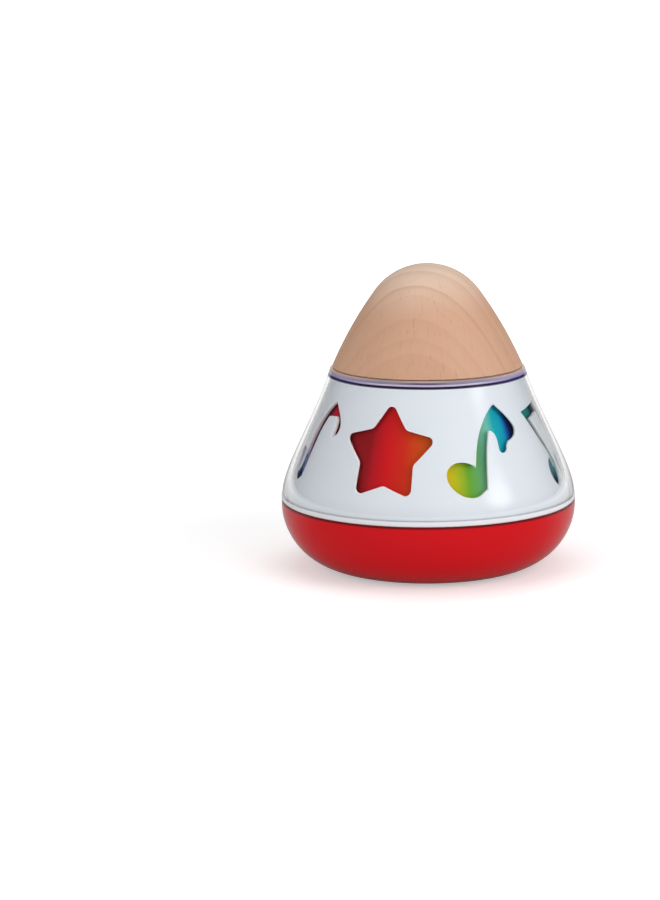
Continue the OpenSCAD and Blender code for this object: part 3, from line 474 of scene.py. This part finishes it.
def arc(centre, radius, start, end, steps):
    """Points on an arc, with its ends given in degrees."""
    turns = [math.radians(start + (end - start) * i / steps) for i in range(steps + 1)]
    return [(centre[0] + radius * math.cos(a), centre[1] + radius * math.sin(a)) for a in turns]


def curve_at(poles, share):
    """Point at a share, 0 to 1, of the smooth curve that these poles draw."""
    while len(poles) > 1:
        poles = [tuple((1 - share) * a + share * b for a, b in zip(p, q)) for p, q in zip(poles, poles[1:])]
    return poles[0]


def bend(first, corner, last, steps):
    """A curve from one point to another that leans towards a corner."""
    return [curve_at((first, corner, last), i / steps) for i in range(steps + 1)]


def rounded(corners, steps=4):
    """An outline whose corners are given as (x, y) or (x, y, length of the rounding)."""
    spots = [Vector(c[:2]) for c in corners]
    points = []
    for i, corner in enumerate(corners):
        cut = corner[2] if len(corner) > 2 else 0.0
        if not cut:
            points.append(tuple(spots[i]))
            continue
        before = spots[i] + (spots[i - 1] - spots[i]).normalized() * cut
        after = spots[i] + (spots[(i + 1) % len(spots)] - spots[i]).normalized() * cut
        points += bend(before, spots[i], after, steps)
    return points


def shell_at(share):
    """Point of the shell's outer wall, from the flange, 0, to the roof, 1; heights above the seam."""
    foot = (RIM_R - FLANGE_STEP, FLANGE_H)
    top = (SHELL_TOP_R, SHELL_H)
    belly = (foot[0], foot[1] + SHELL_BELLY)
    shoulder = (top[0] + SHOULDER_OUT, top[1] - SHOULDER_DROP)
    return curve_at((foot, belly, shoulder, top), share)


def shell_share(height):
    """How far up the wall's curve a height above the seam is reached."""
    halvings = 40
    low, high = 0.0, 1.0
    for _ in range(halvings):
        middle = (low + high) / 2
        low, high = (middle, high) if shell_at(middle)[1] < height else (low, middle)
    return (low + high) / 2


ROOF_UNDER = SHELL_H - ROOF_T
SLEEVE_TOP = ROOF_UNDER - SLEEVE_TOP_GAP
SLEEVE_FOOT_R = RIM_R - FLANGE_STEP - SHELL_WALL - SLEEVE_GAP
SLEEVE_TOP_R = shell_at(shell_share(SLEEVE_TOP))[0] - SHELL_WALL - SLEEVE_GAP
SLEEVE_SLOPE = (SLEEVE_FOOT_R - SLEEVE_TOP_R) / (SLEEVE_TOP - SLEEVE_FOOT_H)
# Length along a level line of what measures 1 square to the cone
LEVEL = math.sqrt(1 + SLEEVE_SLOPE ** 2)


def cone_r(height):
    """Radius of the cone that the sleeve's outside follows, at a height above the seam."""
    return SLEEVE_FOOT_R - SLEEVE_SLOPE * (height - SLEEVE_FOOT_H)


def sleeve_r(height):
    """Outer radius of the sleeve: an upright foot, then a straight cone."""
    return cone_r(max(height, SLEEVE_FOOT_H))


def bowl_outline():
    """Half section of the bowl, from the middle of its foot round the rim to the middle of its floor."""
    outer_steps, inner_steps = 36, 24
    middle = (FOOT_R, BOWL_R)
    outside = arc(middle, BOWL_R, -90, 0, outer_steps)
    inside = arc(middle, BOWL_R - BOWL_WALL, 0, -90, inner_steps)
    rim = rounded([outside[-1], (RIM_R, SEAM_Z, EDGE), (RIM_R - BOWL_WALL, SEAM_Z, EDGE), inside[0]])[1:-1]
    return [(0.0, 0.0), (FOOT_R - 2 * EDGE, 0.0)] + outside + rim + inside + [(0.0, BOWL_WALL)]


def shell_outline():
    """Closed section of the shell: flange, wall, rounded shoulder, roof and the inner wall back down.

    The flange's first and last corners only give directions, and are left off.
    """
    wall_steps, shoulder_steps, lip = 40, 8, 0.15
    top_share = shell_share(SHELL_H - SHELL_ROUND)
    shares = [top_share * i / wall_steps for i in range(wall_steps + 1)]
    shares += [shell_share(ROOF_UNDER), shell_share(SLEEVE_TOP)]
    outer = [shell_at(share) for share in sorted(shares)]
    inner = [(r - SHELL_WALL, z) for r, z in reversed(outer) if z < ROOF_UNDER]
    flange = rounded([
        (RIM_R - SHELL_WALL, 0.0), (RIM_R - GROOVE, 0.0, lip), (RIM_R - GROOVE, GROOVE),
        (RIM_R, GROOVE, lip), (RIM_R, FLANGE_H, lip), outer[0],
    ])[1:-1]
    corner, roof_edge = (SHELL_TOP_R, SHELL_H), (SHELL_TOP_R - SHELL_ROUND, SHELL_H)
    shoulder = bend(outer[-1], corner, roof_edge, shoulder_steps)[1:]
    under_r = shell_at(shell_share(ROOF_UNDER))[0] - SHELL_WALL
    roof = [(BUSH_HOLE_R, SHELL_H), (BUSH_HOLE_R, ROOF_UNDER), (under_r, ROOF_UNDER)]
    section = flange + outer + shoulder + roof + inner + [(RIM_R - FLANGE_STEP - SHELL_WALL, 0.0)]
    return [(r, z + SEAM_Z) for r, z in section + section[:1]]


def drum_outline():
    """Closed section of the drum: a straight cone with a lip turned in at its top."""
    def drum_r(height):
        return cone_r(height) - SLEEVE_WALL * LEVEL - DRUM_GAP
    wall = DRUM_WALL * LEVEL
    under = LIP_TOP - LIP_T
    lip_fit = 0.03
    lip_r = SHOULDER_R + lip_fit
    section = rounded([
        (drum_r(DRUM_FOOT) - wall, DRUM_FOOT, EDGE), (drum_r(DRUM_FOOT), DRUM_FOOT, EDGE),
        (drum_r(LIP_TOP), LIP_TOP, 2 * EDGE), (lip_r, LIP_TOP), (lip_r, under),
        (drum_r(under) - wall, under),
    ])
    return [(r, z + SEAM_Z) for r, z in section + section[:1]]


def wood_outline():
    """Half section of the wooden top: socket, foot, bulging side and round crown."""
    arc_steps, foot_steps = 30, 5
    foot_r = SHELL_TOP_R - WOOD_INSET
    crown = Vector((0.0, WOOD_H - CROWN_R))
    way = Vector((foot_r, 0.0)) - crown
    reach = ((SIDE_R - CROWN_R) ** 2 - SIDE_R ** 2 + way.length ** 2) / (2 * way.length)
    off = math.sqrt((SIDE_R - CROWN_R) ** 2 - reach ** 2)
    ahead = way.normalized()
    side = crown + ahead * reach + Vector((ahead.y, -ahead.x)) * off
    meet = crown - side
    turn = math.degrees(math.atan2(meet.y, meet.x))
    low = math.degrees(math.asin((WOOD_BEVEL - side.y) / SIDE_R))
    flank = arc(side, SIDE_R, low, turn, arc_steps)
    dome = arc(crown, CROWN_R, turn, 90, arc_steps)[1:]
    dome[-1] = (0.0, WOOD_H)
    foot = bend((foot_r - WOOD_BEVEL, 0.0), (foot_r, 0.0), flank[0], foot_steps)[:-1]
    socket = [(0.0, SOCKET_DEPTH), (SOCKET_R, SOCKET_DEPTH), (SOCKET_R, 0.0)]
    under = socket + [(foot_r - 2 * WOOD_BEVEL, 0.0)]
    return [(r, z + WOOD_FOOT_Z) for r, z in under + foot + flank + dome]


# Turned pieces: Geometry Nodes spin an outline round the winding axis and set pieces on a circle

def end_tree(tree, geometry, finish, result):
    """Ends a tree with Realize Instances and Set Material."""
    real = add(tree, "GeometryNodeRealizeInstances", {"Geometry": geometry})
    finished = add(tree, "GeometryNodeSetMaterial", {"Geometry": real.outputs[0], "Material": finish})
    tree.links.new(finished.outputs[0], result)


def turned_tree():
    """Spins an outline, given as the points of a mesh in X and Z, into a closed surface."""
    tree, given, put = new_tree(
        "turned piece", "GeometryNodeTree",
        {"Outline": "Geometry", "Slices": "Int", "Finish": "Material"},
        {"Piece": "Geometry"},
    )
    size = add(tree, "GeometryNodeAttributeDomainSize", {"Geometry": given["Outline"]}, component="MESH")
    stations = size.outputs["Point Count"]
    columns = maths(tree, "ADD", given["Slices"], 1.0)
    grid = add(tree, "GeometryNodeMeshGrid", {"Vertices X": columns, "Vertices Y": stations})
    index = add(tree, "GeometryNodeInputIndex").outputs[0]
    station = maths(tree, "MODULO", index, stations)
    column = maths(tree, "FLOOR", maths(tree, "DIVIDE", index, stations))
    spot = add(tree, "GeometryNodeSampleIndex", {
        "Geometry": given["Outline"],
        "Value": add(tree, "GeometryNodeInputPosition").outputs[0],
        "Index": station,
    }, data_type="FLOAT_VECTOR")
    flat = add(tree, "ShaderNodeSeparateXYZ", {0: spot.outputs[0]}).outputs
    turn = times(tree, maths(tree, "DIVIDE", column, given["Slices"]), 2 * math.pi)
    sideways = times(tree, flat["X"], maths(tree, "SINE", turn))
    forward = times(tree, flat["X"], maths(tree, "COSINE", turn))
    spun = combined(tree, sideways, times(tree, forward, -1.0), flat["Z"])
    moved = add(tree, "GeometryNodeSetPosition", {"Geometry": grid.outputs["Mesh"], "Position": spun})
    closed = add(tree, "GeometryNodeMergeByDistance", {"Geometry": moved.outputs[0], "Distance": WELD})
    smooth = add(tree, "GeometryNodeSetShadeSmooth", {"Geometry": closed.outputs[0]})
    end_tree(tree, smooth.outputs[0], given["Finish"], put["Piece"])
    return tree


def ring_tree():
    """Repeats a piece that is given on the axis at even bearings on a circle."""
    tree, given, put = new_tree(
        "ring of pieces", "GeometryNodeTree",
        {"One": "Geometry", "Count": "Int", "Radius": "Float", "First bearing": "Float",
         "Finish": "Material"},
        {"Pieces": "Geometry"},
    )
    index = add(tree, "GeometryNodeInputIndex").outputs[0]
    share = maths(tree, "DIVIDE", index, given["Count"])
    turn = times_plus(tree, share, 2 * math.pi, given["First bearing"])
    along, aside = [times(tree, given["Radius"], maths(tree, way, turn)) for way in ("COSINE", "SINE")]
    spot = combined(tree, along, aside, 0.0)
    spots = add(tree, "GeometryNodePoints", {"Count": given["Count"], "Position": spot})
    copies = add(tree, "GeometryNodeInstanceOnPoints", {
        "Points": spots.outputs[0], "Instance": given["One"], "Rotation": combined(tree, 0.0, 0.0, turn)})
    end_tree(tree, copies.outputs[0], given["Finish"], put["Pieces"])
    return tree


def in_scene(name, data):
    """A new object in the scene."""
    made = bpy.data.objects.new(name, data)
    bpy.context.scene.collection.objects.link(made)
    return made


def evaluated(piece):
    """Makes the result of a piece's modifiers its plain mesh."""
    graph = bpy.context.evaluated_depsgraph_get()
    mesh = bpy.data.meshes.new_from_object(piece.evaluated_get(graph))
    piece.modifiers.clear()
    piece.data = mesh
    mesh.name = piece.name


def through_tree(piece, tree, **values):
    """Runs a piece's mesh through a Geometry Nodes tree with these input values."""
    modifier = piece.modifiers.new(tree.name, "NODES")
    modifier.node_group = tree
    for item in tree.interface.items_tree:
        label = item.name.replace(" ", "_")
        if item.in_out == "INPUT" and label in values:
            modifier[item.identifier] = values[label]
    evaluated(piece)


def new_piece(name, points, edges=(), faces=()):
    """A piece from points in millimetres."""
    mesh = bpy.data.meshes.new(name)
    mesh.from_pydata([Vector(p) * MM for p in points], list(edges), list(faces))
    return in_scene(name, mesh)


def close_up(piece):
    """Merges doubles, turns faces outwards and shades all but level faces smooth up to the creases.

    Normals left by an earlier round no longer fit after a cut, so they go first.
    """
    crease, level = math.radians(40), 0.9999
    stale = piece.data.attributes.get("custom_normal")
    if stale:
        piece.data.attributes.remove(stale)
    work = bmesh.new()
    work.from_mesh(piece.data)
    bmesh.ops.remove_doubles(work, verts=work.verts, dist=WELD)
    bmesh.ops.recalc_face_normals(work, faces=work.faces)
    for face in work.faces:
        face.smooth = abs(face.normal.z) < level
    work.to_mesh(piece.data)
    work.free()
    piece.data.set_sharp_from_angle(angle=crease)
    even = piece.modifiers.new("even shading", "WEIGHTED_NORMAL")
    even.keep_sharp = True
    evaluated(piece)


def turned(name, outline, finish, slices=192):
    """A turned piece from its half section, given as (radius, height) points.

    The tree's grid brings an empty place before the finish, which is taken out.
    """
    points = [(r, 0.0, z) for r, z in outline]
    piece = new_piece(name, points, [(i, i + 1) for i in range(len(points) - 1)])
    through_tree(piece, TURNED, Slices=slices, Finish=finishes[finish])
    piece.data.materials.pop(index=0)
    close_up(piece)
    return piece


def joined(piece, tool, operation):
    """Cuts a tool out of a piece or grows it on, and removes the tool."""
    work = piece.modifiers.new("joined", "BOOLEAN")
    work.operation = operation
    work.solver = "EXACT"
    work.object = tool
    evaluated(piece)
    bpy.data.objects.remove(tool)


def ring_of(name, outline, finish, count, radius, first, slices=48):
    """Turned shapes on a circle, as one piece."""
    piece = turned(name, outline, finish, slices)
    values = {"Count": count, "Radius": radius * MM, "First_bearing": math.radians(first)}
    through_tree(piece, RING, Finish=finishes[finish], **values)
    return piece


def stands_for(piece, node, body):
    """Puts a finished piece in the place of a CAD node."""
    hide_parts(node)
    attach(piece, body)


TURNED = turned_tree()
RING = ring_tree()


def make_bowl():
    """The bowl, with the posts and stepped holes of its screws."""
    bowl = turned("red_bowl", bowl_outline(), "red_gloss")
    on_circle = (BOSSES, BOSS_CIRCLE_R, BOSS_BEARING)
    low = BOWL_WALL - PAST
    post = [(0.0, low), (BOSS_R, low), (BOSS_R, BOSS_TOP), (0.0, BOSS_TOP)]
    joined(bowl, ring_of("posts", post, "red_gloss", *on_circle), "UNION")
    hole = [
        (0.0, -PAST), (HEAD_HOLE_R, -PAST), (HEAD_HOLE_R, HEAD_HOLE_DEPTH),
        (SHANK_HOLE_R, HEAD_HOLE_DEPTH), (SHANK_HOLE_R, BOSS_TOP + PAST), (0.0, BOSS_TOP + PAST),
    ]
    joined(bowl, ring_of("holes", hole, "red_gloss", *on_circle), "DIFFERENCE")
    close_up(bowl)
    stands_for(bowl, "base_bowl", "base")


def make_shell():
    """The shell, with other finishes for its flange, its top edge and the roof under the wood, which carry
    painted light and shade.
    """
    facing_up = 0.9
    shell = turned("shell", shell_outline(), "clear_plastic")
    for finish in ("clear_flange", "clear_edge", "clear_roof"):
        shell.data.materials.append(finishes[finish])
    for face in shell.data.polygons:
        height = face.center.z / MM - SEAM_Z
        reach = math.hypot(face.center.x, face.center.y) / MM
        if height < FLANGE_H and reach > RIM_R - SHELL_WALL:
            face.material_index = 1
        elif height > SLEEVE_TOP and reach > shell_at(shell_share(height))[0] - SHELL_WALL / 2:
            face.material_index = 2
        elif height > ROOF_UNDER and face.normal.z > facing_up:
            face.material_index = 3
    stands_for(shell, "clear_shell", "base")


def make_drum():
    drum = turned("drum", drum_outline(), "rainbow_print")
    stands_for(drum, "rainbow_drum", "top")


def make_wood():
    """The wooden top, with the holes of its screws."""
    wood = turned("winder", wood_outline(), "beech")
    low, high = WOOD_FOOT_Z - PAST, WOOD_FOOT_Z + TOP_SCREW_DEPTH
    hole = [(0.0, low), (TOP_SCREW_HOLE_R, low), (TOP_SCREW_HOLE_R, high), (0.0, high)]
    on_circle = (TOP_SCREWS, TOP_SCREW_CIRCLE, TOP_SCREW_BEARING)
    joined(wood, ring_of("screw_holes", hole, "beech", *on_circle), "DIFFERENCE")
    close_up(wood)
    stands_for(wood, "wooden_top", "top")


# White sleeve: cut flat with its figures, given rounded edges, then wrapped round the cone

def oval(centre, long_half, short_half, turn, steps=40):
    """An ellipse, turned by degrees."""
    lean = math.radians(turn)
    points = []
    for i in range(steps):
        a = 2 * math.pi * i / steps
        x, y = long_half * math.cos(a), short_half * math.sin(a)
        points.append((centre[0] + x * math.cos(lean) - y * math.sin(lean),
                       centre[1] + x * math.sin(lean) + y * math.cos(lean)))
    return points


def star_parts():
    """A star with five round tips and softened inner corners."""
    rays, tip_steps, inner_cut, inner_steps = 5, 8, 1.0, 3
    step = 2 * math.pi / rays
    tip = Vector((0.0, STAR_R - STAR_ROUND))
    corner = Vector((math.sin(step / 2), math.cos(step / 2))) * STAR_INNER_R
    off = corner - tip
    start = math.degrees(math.atan2(off.y, off.x) + math.acos(STAR_ROUND / off.length))
    ray = arc(tip, STAR_ROUND, start, 180 - start, tip_steps) + [(-corner.x, corner.y, inner_cut)]
    points = []
    for i in range(rays):
        along, up = math.cos(step * i), math.sin(step * i)
        for p in ray:
            spot = (p[0] * along - p[1] * up, p[0] * up + p[1] * along + STAR_Z)
            points.append(spot + tuple(p[2:]))
    return [rounded(points, inner_steps)]


def broad_flag():
    """A quaver's flag with a blunt tail, from the stem's left foot round to its right foot."""
    side = (17.7, 33.0)
    points = bend((-3.4, 18.6), (-1.7, 35.2), (8.2, 43.1), 12)
    points += bend((9.2, 43.4), (17.6, 35.8), side, 10)
    points += bend(side, (17.5, 29.8), (13.3, 29.1), 6)[1:]
    points += arc((10.2, 27.0), 2.0, 10, -170, 9)
    points += bend((8.15, 28.0), (8.2, 33.0), (5.6, 33.9), 6)
    return points + bend((5.0, 33.7), (3.2, 29.4), (1.7, 20.8), 8)


def slim_flag():
    """A quaver's slim flag that ends in a point."""
    side = (15.6, 33.4)
    points = bend((-3.4, 18.6), (-1.7, 35.2), (7.4, 42.7), 12)
    points += bend((8.2, 43.0), (15.6, 36.8), side, 10)
    points += bend(side, (15.6, 31.4), (13.9, 30.3), 6)[1:]
    points += arc((13.3, 30.1), 0.5, 10, -170, 5)
    points += bend((12.7, 31.0), (13.0, 38.4), (9.6, 37.5), 8)
    return points + bend((6.4, 37.2), (2.9, 32.0), (1.7, 20.8), 8)


def quaver_parts(flag):
    """A quaver: its head, and its stem that runs into the given flag."""
    head = oval((-7.7, 16.4), long_half=8.0, short_half=6.3, turn=-28)
    stem_foot = [(0.4, 12.5), (-2.6, 10.7)]
    return [head, stem_foot + flag]


def pair_parts():
    """A pair of leaning notes under one beam."""
    lean, rise = 0.55, 0.16
    left, beam_len, beam_t = (-9.8, 38.7), 14.4, 4.0
    stem_w, stem_len = 2.8, 23.0
    head_left, head_down = 2.45, 2.3
    right = (left[0] + beam_len, left[1] + beam_len * rise)
    drop = (beam_t * lean, -beam_t)
    under = [(end[0] + drop[0], end[1] + drop[1]) for end in (right, left)]
    parts = [[left, right] + under]
    for x in (0.0, beam_len - stem_w):
        top = (left[0] + x, left[1] + x * rise)
        foot = (top[0] + stem_len * lean, top[1] - stem_len)
        parts.append([top, (top[0] + stem_w, top[1] + stem_w * rise), (foot[0] + stem_w, foot[1]), foot])
        head = (foot[0] - head_left, foot[1] - head_down)
        parts.append(oval(head, long_half=4.7, short_half=5.6, turn=12))
    return parts


def loops_of(faces):
    """The open borders of faces, as loops that keep the faces on their left."""
    sides = {side for face in faces for side in zip(face, list(face[1:]) + [face[0]])}
    ahead = {a: b for a, b in sides if (b, a) not in sides}
    loops = []
    while ahead:
        loop = [min(ahead)]
        while True:
            following = ahead.pop(loop[-1])
            if following == loop[0]:
                break
            loop.append(following)
        loops.append(loop)
    return loops


def one_outline(parts):
    """The outer border of overlapping outlines, counter-clockwise."""
    spots, faces = [], []
    for part in parts:
        swept = sum(a[0] * b[1] - b[0] * a[1] for a, b in zip(part, part[1:] + part[:1]))
        faces.append(list(range(len(spots), len(spots) + len(part))))
        spots += [Vector(p) for p in (part if swept > 0 else reversed(part))]
    found, _, pieces, _, _, owners = delaunay_2d_cdt(spots, [], faces, 0, FLAT_WELD)
    loops = loops_of([piece for piece, owner in zip(pieces, owners) if owner])
    return [tuple(found[i]) for i in max(loops, key=len)]


def side_steps(loop, period=None):
    """For each point of a loop, the way to its right, long enough to keep the distance at corners."""
    sharpest = 0.4
    steps = []
    for i, spot in enumerate(loop):
        ways = []
        for a, b in ((loop[i - 1], spot), (spot, loop[(i + 1) % len(loop)])):
            along = Vector(b) - Vector(a)
            if period:
                along.x = (along.x + period / 2) % period - period / 2
            ways.append(Vector((along.y, -along.x)).normalized())
        middle = (ways[0] + ways[1]).normalized()
        steps.append(middle / max(sharpest, middle.dot(ways[0])))
    return steps


class Sleeve:
    """Works out the sleeve in flat coordinates: bearing times a middle radius, and height.

    The flat sheet is split at the seam's bearing, in degrees, between two figures.
    """
    middle_r = 48.0
    columns = 288
    seam = 184
    fade = math.radians(2)

    def __init__(self):
        kinds = (star_parts(), quaver_parts(broad_flag()), pair_parts(), quaver_parts(slim_flag()))
        outlines = [one_outline(parts) for parts in kinds]
        slim = len(outlines) - 1
        before_seam = 360 - self.seam
        self.figures = []
        for i in range(FIGURES):
            kind = i % len(outlines)
            bearing = FIGURE_START + FIGURE_PITCH * i - (NOTE_BACK if kind == slim else 0.0)
            bearing = (bearing + before_seam) % 360 - before_seam
            outline = outlines[kind]
            turns = [math.asin(x / sleeve_r(y)) for x, y in outline]
            loop = [((math.radians(bearing) + t) * self.middle_r, y) for t, (_, y) in zip(turns, outline)]
            self.figures.append((math.radians(bearing), min(turns), max(turns), loop))

    def sheet(self):
        """Triangles of the flat sheet outside the figures, with the two ends joined."""
        length = 2 * math.pi * self.middle_r
        start = (math.radians(self.seam) - 2 * math.pi) * self.middle_r
        end = start + length
        same_place = 0.001
        rows = (EDGE, SLEEVE_FOOT_H, SLEEVE_TOP - EDGE)
        n = len(rows)
        along = [start + length * i / self.columns for i in range(self.columns + 1)]
        spots = [Vector((u, v)) for u in along for v in rows]
        edges = [(n * i + k, n * i + k + 1) for i in range(self.columns + 1) for k in range(n - 1)]
        edges += [(n * i + k, n * i + k + n) for i in range(self.columns) for k in range(n)]
        faces = []
        for _, _, _, loop in self.figures:
            faces.append(list(range(len(spots), len(spots) + len(loop))))
            wider = zip(loop, side_steps(loop))
            spots += [Vector(p) + step * EDGE for p, step in wider]
        found, _, pieces, _, _, owners = delaunay_2d_cdt(spots, edges, faces, 0, FLAT_WELD)
        first = {round(p.y, 4): i for i, p in enumerate(found) if abs(p.x - start) < same_place}
        same = [
            first[round(p.y, 4)] if abs(p.x - end) < same_place else i
            for i, p in enumerate(found)
        ]
        kept = [[same[i] for i in piece] for piece, owner in zip(pieces, owners) if not owner]
        return [tuple(p) for p in found], kept, length

    def wrapped(self, spot, depth):
        """Place on the cone of a flat point; cut-outs run straight along their figure's bearing."""
        bearing = spot[0] / self.middle_r
        outer = sleeve_r(spot[1])
        radius = outer - depth * LEVEL
        for middle, left, right, _ in self.figures:
            local = (bearing - middle + math.pi) % (2 * math.pi) - math.pi
            past = max(left - local, local - right, 0.0) / self.fade
            if past < 1:
                lean = math.asin(outer * math.sin(local) / radius) - local
                bearing += lean * (1 - past * past * (3 - 2 * past))
                break
        return (radius * math.sin(bearing), -radius * math.cos(bearing), SEAM_Z + spot[1])


def make_sleeve():
    """The sleeve's two faces and the rounded rims that join them."""
    plan = Sleeve()
    spots, sheet, length = plan.sheet()
    quarter = [math.radians(a) for a in (30, 60, 90)]
    rims = [(EDGE * math.sin(a), EDGE * (1 - math.cos(a))) for a in quarter]
    rims += [(s, SLEEVE_WALL - w) for s, w in reversed(rims)]
    count = len(spots)
    points = [plan.wrapped(p, 0.0) for p in spots] + [plan.wrapped(p, SLEEVE_WALL) for p in spots]
    faces = list(sheet) + [[i + count for i in reversed(face)] for face in sheet]
    flat_faces = len(faces)
    for loop in loops_of(sheet):
        flat = [Vector(spots[i]) for i in loop]
        steps = side_steps(flat, length)
        rings = [loop]
        for out, depth in rims:
            rings.append(list(range(len(points), len(points) + len(loop))))
            points += [plan.wrapped(p + step * out, depth) for p, step in zip(flat, steps)]
        rings.append([i + count for i in loop])
        for upper, lower in zip(rings, rings[1:]):
            for i in range(len(loop)):
                faces.append([upper[i - 1], lower[i - 1], lower[i], upper[i]])
    used = sorted({i for face in faces for i in face})
    order = {old: new for new, old in enumerate(used)}
    piece = new_piece("sleeve", [points[i] for i in used], (), [[order[i] for i in f] for f in faces])
    for finish in ("white_satin", "white_edge"):
        piece.data.materials.append(finishes[finish])
    for face in piece.data.polygons[flat_faces:]:
        face.material_index = 1
    close_up(piece)
    stands_for(piece, "white_sleeve", "base")


make_bowl()
make_shell()
make_drum()
make_wood()
make_sleeve()


# Studio

def floor_material():
    """Pale floor that keeps the object's shadow, fades to white away from it and is dim in gloss."""
    near, away, near_glow = 0.12, 0.9, 0.42
    pale, pale_in_gloss = (0.8, 0.8, 0.8, 1.0), (0.3, 0.3, 0.3, 1.0)
    middle, front_glow, back_glow = 0.03, 0.15, 0.7
    material = bpy.data.materials.new("floor")
    material.use_nodes = True
    tree = material.node_tree
    tree.nodes.remove(tree.nodes["Principled BSDF"])
    far = add(tree, "ShaderNodeVectorMath", {0: place(tree)}, operation="LENGTH").outputs["Value"]
    glow = between(tree, far, near, away, near_glow, 1.0)
    path = add(tree, "ShaderNodeLightPath").outputs
    tone = mix(tree, path["Is Glossy Ray"], pale, pale_in_gloss)
    matte = add(tree, "ShaderNodeBsdfDiffuse", {"Color": tone})
    in_gloss = between(tree, object_xyz(tree)["Y"], -middle, middle, front_glow, back_glow)
    shown = larger(tree, path["Is Camera Ray"], path["Is Transmission Ray"])
    shown = larger(tree, shown, times(tree, path["Is Glossy Ray"], in_gloss))
    shine = add(tree, "ShaderNodeEmission", {"Strength": times(tree, shown, glow)})
    both = add(tree, "ShaderNodeAddShader", {0: matte.outputs[0], 1: shine.outputs[0]})
    tree.links.new(both.outputs[0], tree.nodes["Material Output"].inputs["Surface"])
    return material


def make_floor(half=30.0):
    mesh = bpy.data.meshes.new("floor")
    corners = [(-half, -half, 0), (half, -half, 0), (half, half, 0), (-half, half, 0)]
    mesh.from_pydata(corners, [], [(0, 1, 2, 3)])
    mesh.materials.append(floor_material())
    floor = in_scene("floor", mesh)


def soft_edges(lamp):
    """Fades a lamp out towards its edges, so that its mirror image has none."""
    core, rim = 0.05, 0.5
    lamp.use_nodes = True
    tree = lamp.node_tree
    spot = add(tree, "ShaderNodeNewGeometry").outputs["Parametric"]
    flat, middle = (1.0, 1.0, 0.0), (-0.5, -0.5, 0.0)
    off = add(tree, "ShaderNodeVectorMath", {0: spot, 1: flat, 2: middle}, operation="MULTIPLY_ADD")
    far = add(tree, "ShaderNodeVectorMath", {0: off.outputs[0]}, operation="LENGTH").outputs["Value"]
    fade = between(tree, far, core, rim, 1.0, 0.0, interpolation_type="SMOOTHSTEP")
    tree.links.new(fade, tree.nodes["Emission"].inputs["Strength"])


def softbox(name, at, aim, size, power, mirrored=False):
    """A rectangular area lamp at one point, aimed at another; gloss shows it only where asked."""
    lamp = bpy.data.lights.new(name, "AREA")
    lamp.shape = "RECTANGLE"
    lamp.size, lamp.size_y = size
    lamp.energy = power
    holder = in_scene(name, lamp)
    holder.location = at
    holder.rotation_mode = "QUATERNION"
    holder.rotation_quaternion = (Vector(aim) - Vector(at)).to_track_quat("-Z", "Y")
    holder.visible_glossy = mirrored
    holder.visible_transmission = mirrored
    if mirrored:
        soft_edges(lamp)


def make_world():
    """White backdrop; in gloss and through clear plastic, the room in front of the object is dim."""
    ambient, front = 0.415, 0.04
    world = bpy.data.worlds.new("studio")
    bpy.context.scene.world = world
    world.use_nodes = True
    tree = world.node_tree
    way = add(tree, "ShaderNodeTexCoord").outputs["Generated"]
    back = add(tree, "ShaderNodeSeparateXYZ", {0: way}).outputs["Y"]
    path = add(tree, "ShaderNodeLightPath").outputs
    room_through = between(tree, back, 0.7, 0.95, front, 1.0)
    room_mirrored = between(tree, back, 0.88, 1.0, front, 0.9)
    through = times(tree, path["Is Transmission Ray"], room_through)
    mirrored = times(tree, path["Is Glossy Ray"], room_mirrored)
    shown = larger(tree, path["Is Camera Ray"], larger(tree, through, mirrored))
    bounced = larger(tree, path["Is Glossy Ray"], path["Is Transmission Ray"])
    lighting = times(tree, ambient, minus(tree, 1.0, bounced))
    strength = larger(tree, shown, lighting)
    tree.links.new(strength, tree.nodes["Background"].inputs["Strength"])
    tree.nodes["Background"].inputs["Color"].default_value = (1.0, 1.0, 1.0, 1.0)


def make_camera():
    """The photograph's view, worked out from the object's seam, top and axis in it."""
    at = Vector((0.0, -1.1, 0.2578))
    yaw, pitch, roll = -0.0363, 0.1888, -0.0129
    focal_px, long_side_px = 2740.4, 900
    flat = math.cos(pitch)
    ahead = Vector((math.sin(yaw) * flat, math.cos(yaw) * flat, -math.sin(pitch)))
    right = Vector((math.cos(yaw), -math.sin(yaw), 0.0))
    up = right.cross(ahead)
    tilted = right * math.cos(roll) + up * math.sin(roll)
    top = up * math.cos(roll) - right * math.sin(roll)
    lens = bpy.data.cameras.new("camera")
    lens.sensor_width = 36.0
    lens.lens = focal_px / long_side_px * lens.sensor_width
    lens.clip_end = 100.0
    camera = in_scene("camera", lens)
    camera.matrix_world = Matrix.Translation(at) @ Matrix((tilted, top, -ahead)).transposed().to_4x4()
    bpy.context.scene.camera = camera


make_floor()
make_world()
make_camera()
softbox("key", at=(0.82, -0.74, 0.55), aim=(0, 0, 0.06), size=(1.0, 1.0), power=6.4)
softbox("strip", at=(0.8, -0.48, 0.36), aim=(0, 0, 0.05), size=(0.6, 0.6), power=2.4, mirrored=True)
softbox("fill", at=(-0.72, -0.78, 0.5), aim=(0, 0, 0.06), size=(0.6, 0.8), power=3.0)
softbox("top", at=(0.0, 0.1, 1.1), aim=(0, 0, 0.1), size=(0.9, 0.9), power=2.8)
bpy.context.scene.view_settings.view_transform = "Standard"
